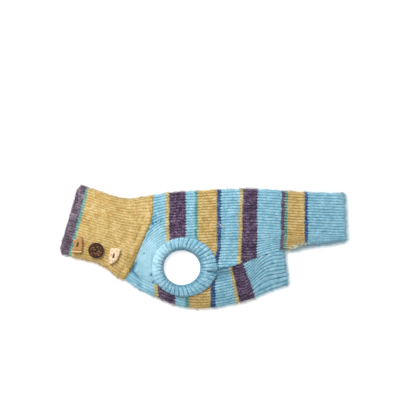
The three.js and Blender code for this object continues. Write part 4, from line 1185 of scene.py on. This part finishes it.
# Roots, directions, rows and lengths of the fibres along the free rims
def rimFibres(skin, count, reach, weight, random):
    free = np.nonzero(np.linalg.norm(skin["out"], axis=1) > edge["free"] / 2)[0]
    chance = weight(skin["points"][skin["rim"][free]])
    pick = random.choice(free, count, p=chance / chance.sum())
    out = skin["out"][pick]
    out = unit(out if out.shape[1] == 3 else np.column_stack([out, np.zeros(count)]))
    p = skin["points"][skin["rim"][pick]].copy()
    p[:, :2] += random.normal(0, fuzz["rimSpread"], (count, 2))
    p[:, 2] = random.uniform(*fuzz["rimHeight"], count) * p[:, 2]
    where, t = skin["uv"][skin["rim"][pick]].copy(), tailFibres
    onTail = (p[:, 0] > t["from"]) & (p[:, 1] < levelAt(tailEdge, p[:, 0]) + t["above"])
    where[onTail & (random.uniform(size=count) < t["skyShare"]), 1] = t["skyRow"]
    lower = onTail & (p[:, 0] > t["navyFrom"]) & (p[:, 0] < t["navyTo"])
    where[lower & (random.uniform(size=count) < t["navyShare"]), 1] = t["navyRow"]
    return p, out, where, reach * np.exp(fuzz["edgeSpread"] * random.normal(size=count))


def evenWeight(points):
    return np.ones(len(points))


# The nap of one knit: short straight fibres all over, and longer bent ones at its folds and free rims
def fuzzOf(name, skin, surface, folds, rims, rimReach, stripes, slot, seed, rimWeight=evenWeight):
    f, random = fuzz, np.random.default_rng(seed)
    material = knitMaterial(name.replace("_", " ") + ", mohair fibres", stripes, fibre=True)
    thickness = lambda middle, count: middle * random.uniform(*f["radiusShare"], count)
    p, n, uv = scatter(skin, surface, nearWeight, random)
    length = np.clip(f["surface"] * np.exp(f["surfaceSpread"] * random.normal(size=surface)), *f["surfaceRange"])
    leans = random.uniform(*f["surfaceLean"], surface)
    made = [fibres(name, p, n, leans, length, thickness(f["radius"], surface), 0, uv, material, slot, random)]
    if folds:
        atFolds = scatter(skin, folds, foldWeight, random)
        atFolds += (f["edge"] * np.exp(f["edgeSpread"] * random.normal(size=folds)),)
        atRims = rimFibres(skin, rims, rimReach, rimWeight, random)
        p, n, uv, length = [np.concatenate(pair) for pair in zip(atFolds, atRims)]
        leans, length = random.uniform(*f["edgeLean"], len(p)), np.clip(length, *f["edgeRange"])
        made.append(fibres(name + "_edge", p, n, leans, length, thickness(f["edgeRadius"], len(p)), f["bend"], uv,
                           material, slot, random))
    return made


# More fibres at the tail hem, most of all at its upper end, and along the tail's lower edge
def tailRim(points):
    x, y, t = points[:, 0], points[:, 1], tailFibres
    atHem = x > t["hem"]
    weight = 1.0 + t["hemMore"] * atHem + t["cornerMore"] * ramp(y, *t["corner"]) * atHem
    return weight + t["lowerMore"] * (y < t["lower"])


backFuzz = fuzzOf("back_fuzz", backSkin, 33000, 2600, 4600, 5.0, backStripes, "knit_body", 101, tailRim)
bellyFuzz = fuzzOf("belly_fuzz", bellySkin, 13000, 2600, 1200, 4.2, bellyStripes, "knit_body", 102)
collarFuzz = fuzzOf("collar_fuzz", collarSkin, 21000, 2800, 1500, 4.0, collarStripes, "knit_collar", 103)
cuffFuzz = fuzzOf("cuff_near_fuzz", nearSkin, 8000, 0, 0, 0, skyOnly, "knit_cuff", 104)

# Long loose hairs that lie on the knit: a thin tube along a bent line, radius falling to its ends
looseHairs = [
    {"line": [(18.5, 30.8), (20.8, 29.8), (22.6, 27.6), (24.4, 26.2), (26.2, 25.8), (31.5, 25.0)],
     "radius": 0.26, "level": 7.1, "arch": 0.5, "row": 2.5},
    {"line": [(11.0, -37.6), (13.7, -33.6), (17.0, -28.4), (20.4, -22.0), (24.6, -13.6)],
     "radius": 0.22, "level": 8.0, "arch": 1.6, "row": 7.5},
]
looseYarns = [("undyed", 5, 5), ("sky", 5, 10)]


def hairTube(form, count=40, sides=6):
    arch = np.sin(np.linspace(0, np.pi, count))
    path = np.column_stack([smoothLine(np.array(form["line"]), count), form["level"] + form["arch"] * arch])
    along = unit(np.gradient(path, axis=0))
    level = np.column_stack([-along[:, 1], along[:, 0], np.zeros(count)])
    up = np.tile([0, 0, 1.0], (count, 1))
    return tubeAlong(path, level, up, form["radius"] * (0.25 + 0.75 * arch), sides)


tubes = [hairTube(form) for form in looseHairs]
hairRows = np.repeat([[0.0, form["row"]] for form in looseHairs], len(tubes[0][0]), axis=0)
hairPoints, hairQuads = joined(tubes)
hairPiece = writePiece("stray_fibre", hairPoints, [hairQuads],
                       knitMaterial("loose mohair hairs", looseYarns, fibre=True), "knit_body", hairRows)


# Plain pale table, soft daylight from the upper left, and a camera straight above
table = {"half": 7.0, "colour": "#fafafa", "roughness": 0.9, "glow": 0.33}
corners = [(x * table["half"], y * table["half"], 0) for x, y in ((-1, -1), (1, -1), (1, 1), (-1, 1))]
floorMesh = bpy.data.meshes.new("table")
floorMesh.from_pydata(corners, [], [(0, 1, 2, 3)])
floorObject = bpy.data.objects.new("table", floorMesh)
bpy.context.scene.collection.objects.link(floorObject)
white, add = emptyMaterial("white paper")
paper = {"Base Color": table["colour"], "Roughness": table["roughness"], "Emission Color": (1, 1, 1, 1),
         "Emission Strength": table["glow"]}
add("OutputMaterial", {"Surface": add("BsdfPrincipled", paper)})
floorMesh.materials.append(white)

world = bpy.data.worlds.new("studio")
world.use_nodes = True
sky = world.node_tree.nodes["Background"].inputs
sky["Color"].default_value = (1, 1, 1, 1)
sky["Strength"].default_value = 0.66
bpy.context.scene.world = world

# Lights: name, place in metres, width of the disc, power
lights = [("window", (-0.48, 0.54, 0.60), 0.6, 11.8), ("bounce", (0.9, -0.7, 1.0), 1.2, 3)]
for name, place, size, power in lights:
    data = bpy.data.lights.new(name, "AREA")
    data.shape = "DISK"
    data.size = size
    data.energy = power
    lamp = bpy.data.objects.new(name, data)
    lamp.location = place
    lamp.rotation_euler = (-Vector(place)).to_track_quat("-Z", "Y").to_euler()
    bpy.context.scene.collection.objects.link(lamp)

view = {"x": 6.6, "y": 49.8, "width": 540.8, "height": 1600.0, "level": 5.0, "sensor": 36.0}
cameraData = bpy.data.cameras.new("camera")
cameraData.sensor_width = view["sensor"]
cameraData.lens = view["sensor"] * (view["height"] - view["level"]) / view["width"]
cameraData.clip_end = 10
camera = bpy.data.objects.new("camera", cameraData)
camera.location = (view["x"] * mm, view["y"] * mm, view["height"] * mm)
bpy.context.scene.collection.objects.link(camera)
bpy.context.scene.camera = camera
bpy.context.scene.view_settings.view_transform = "Standard"
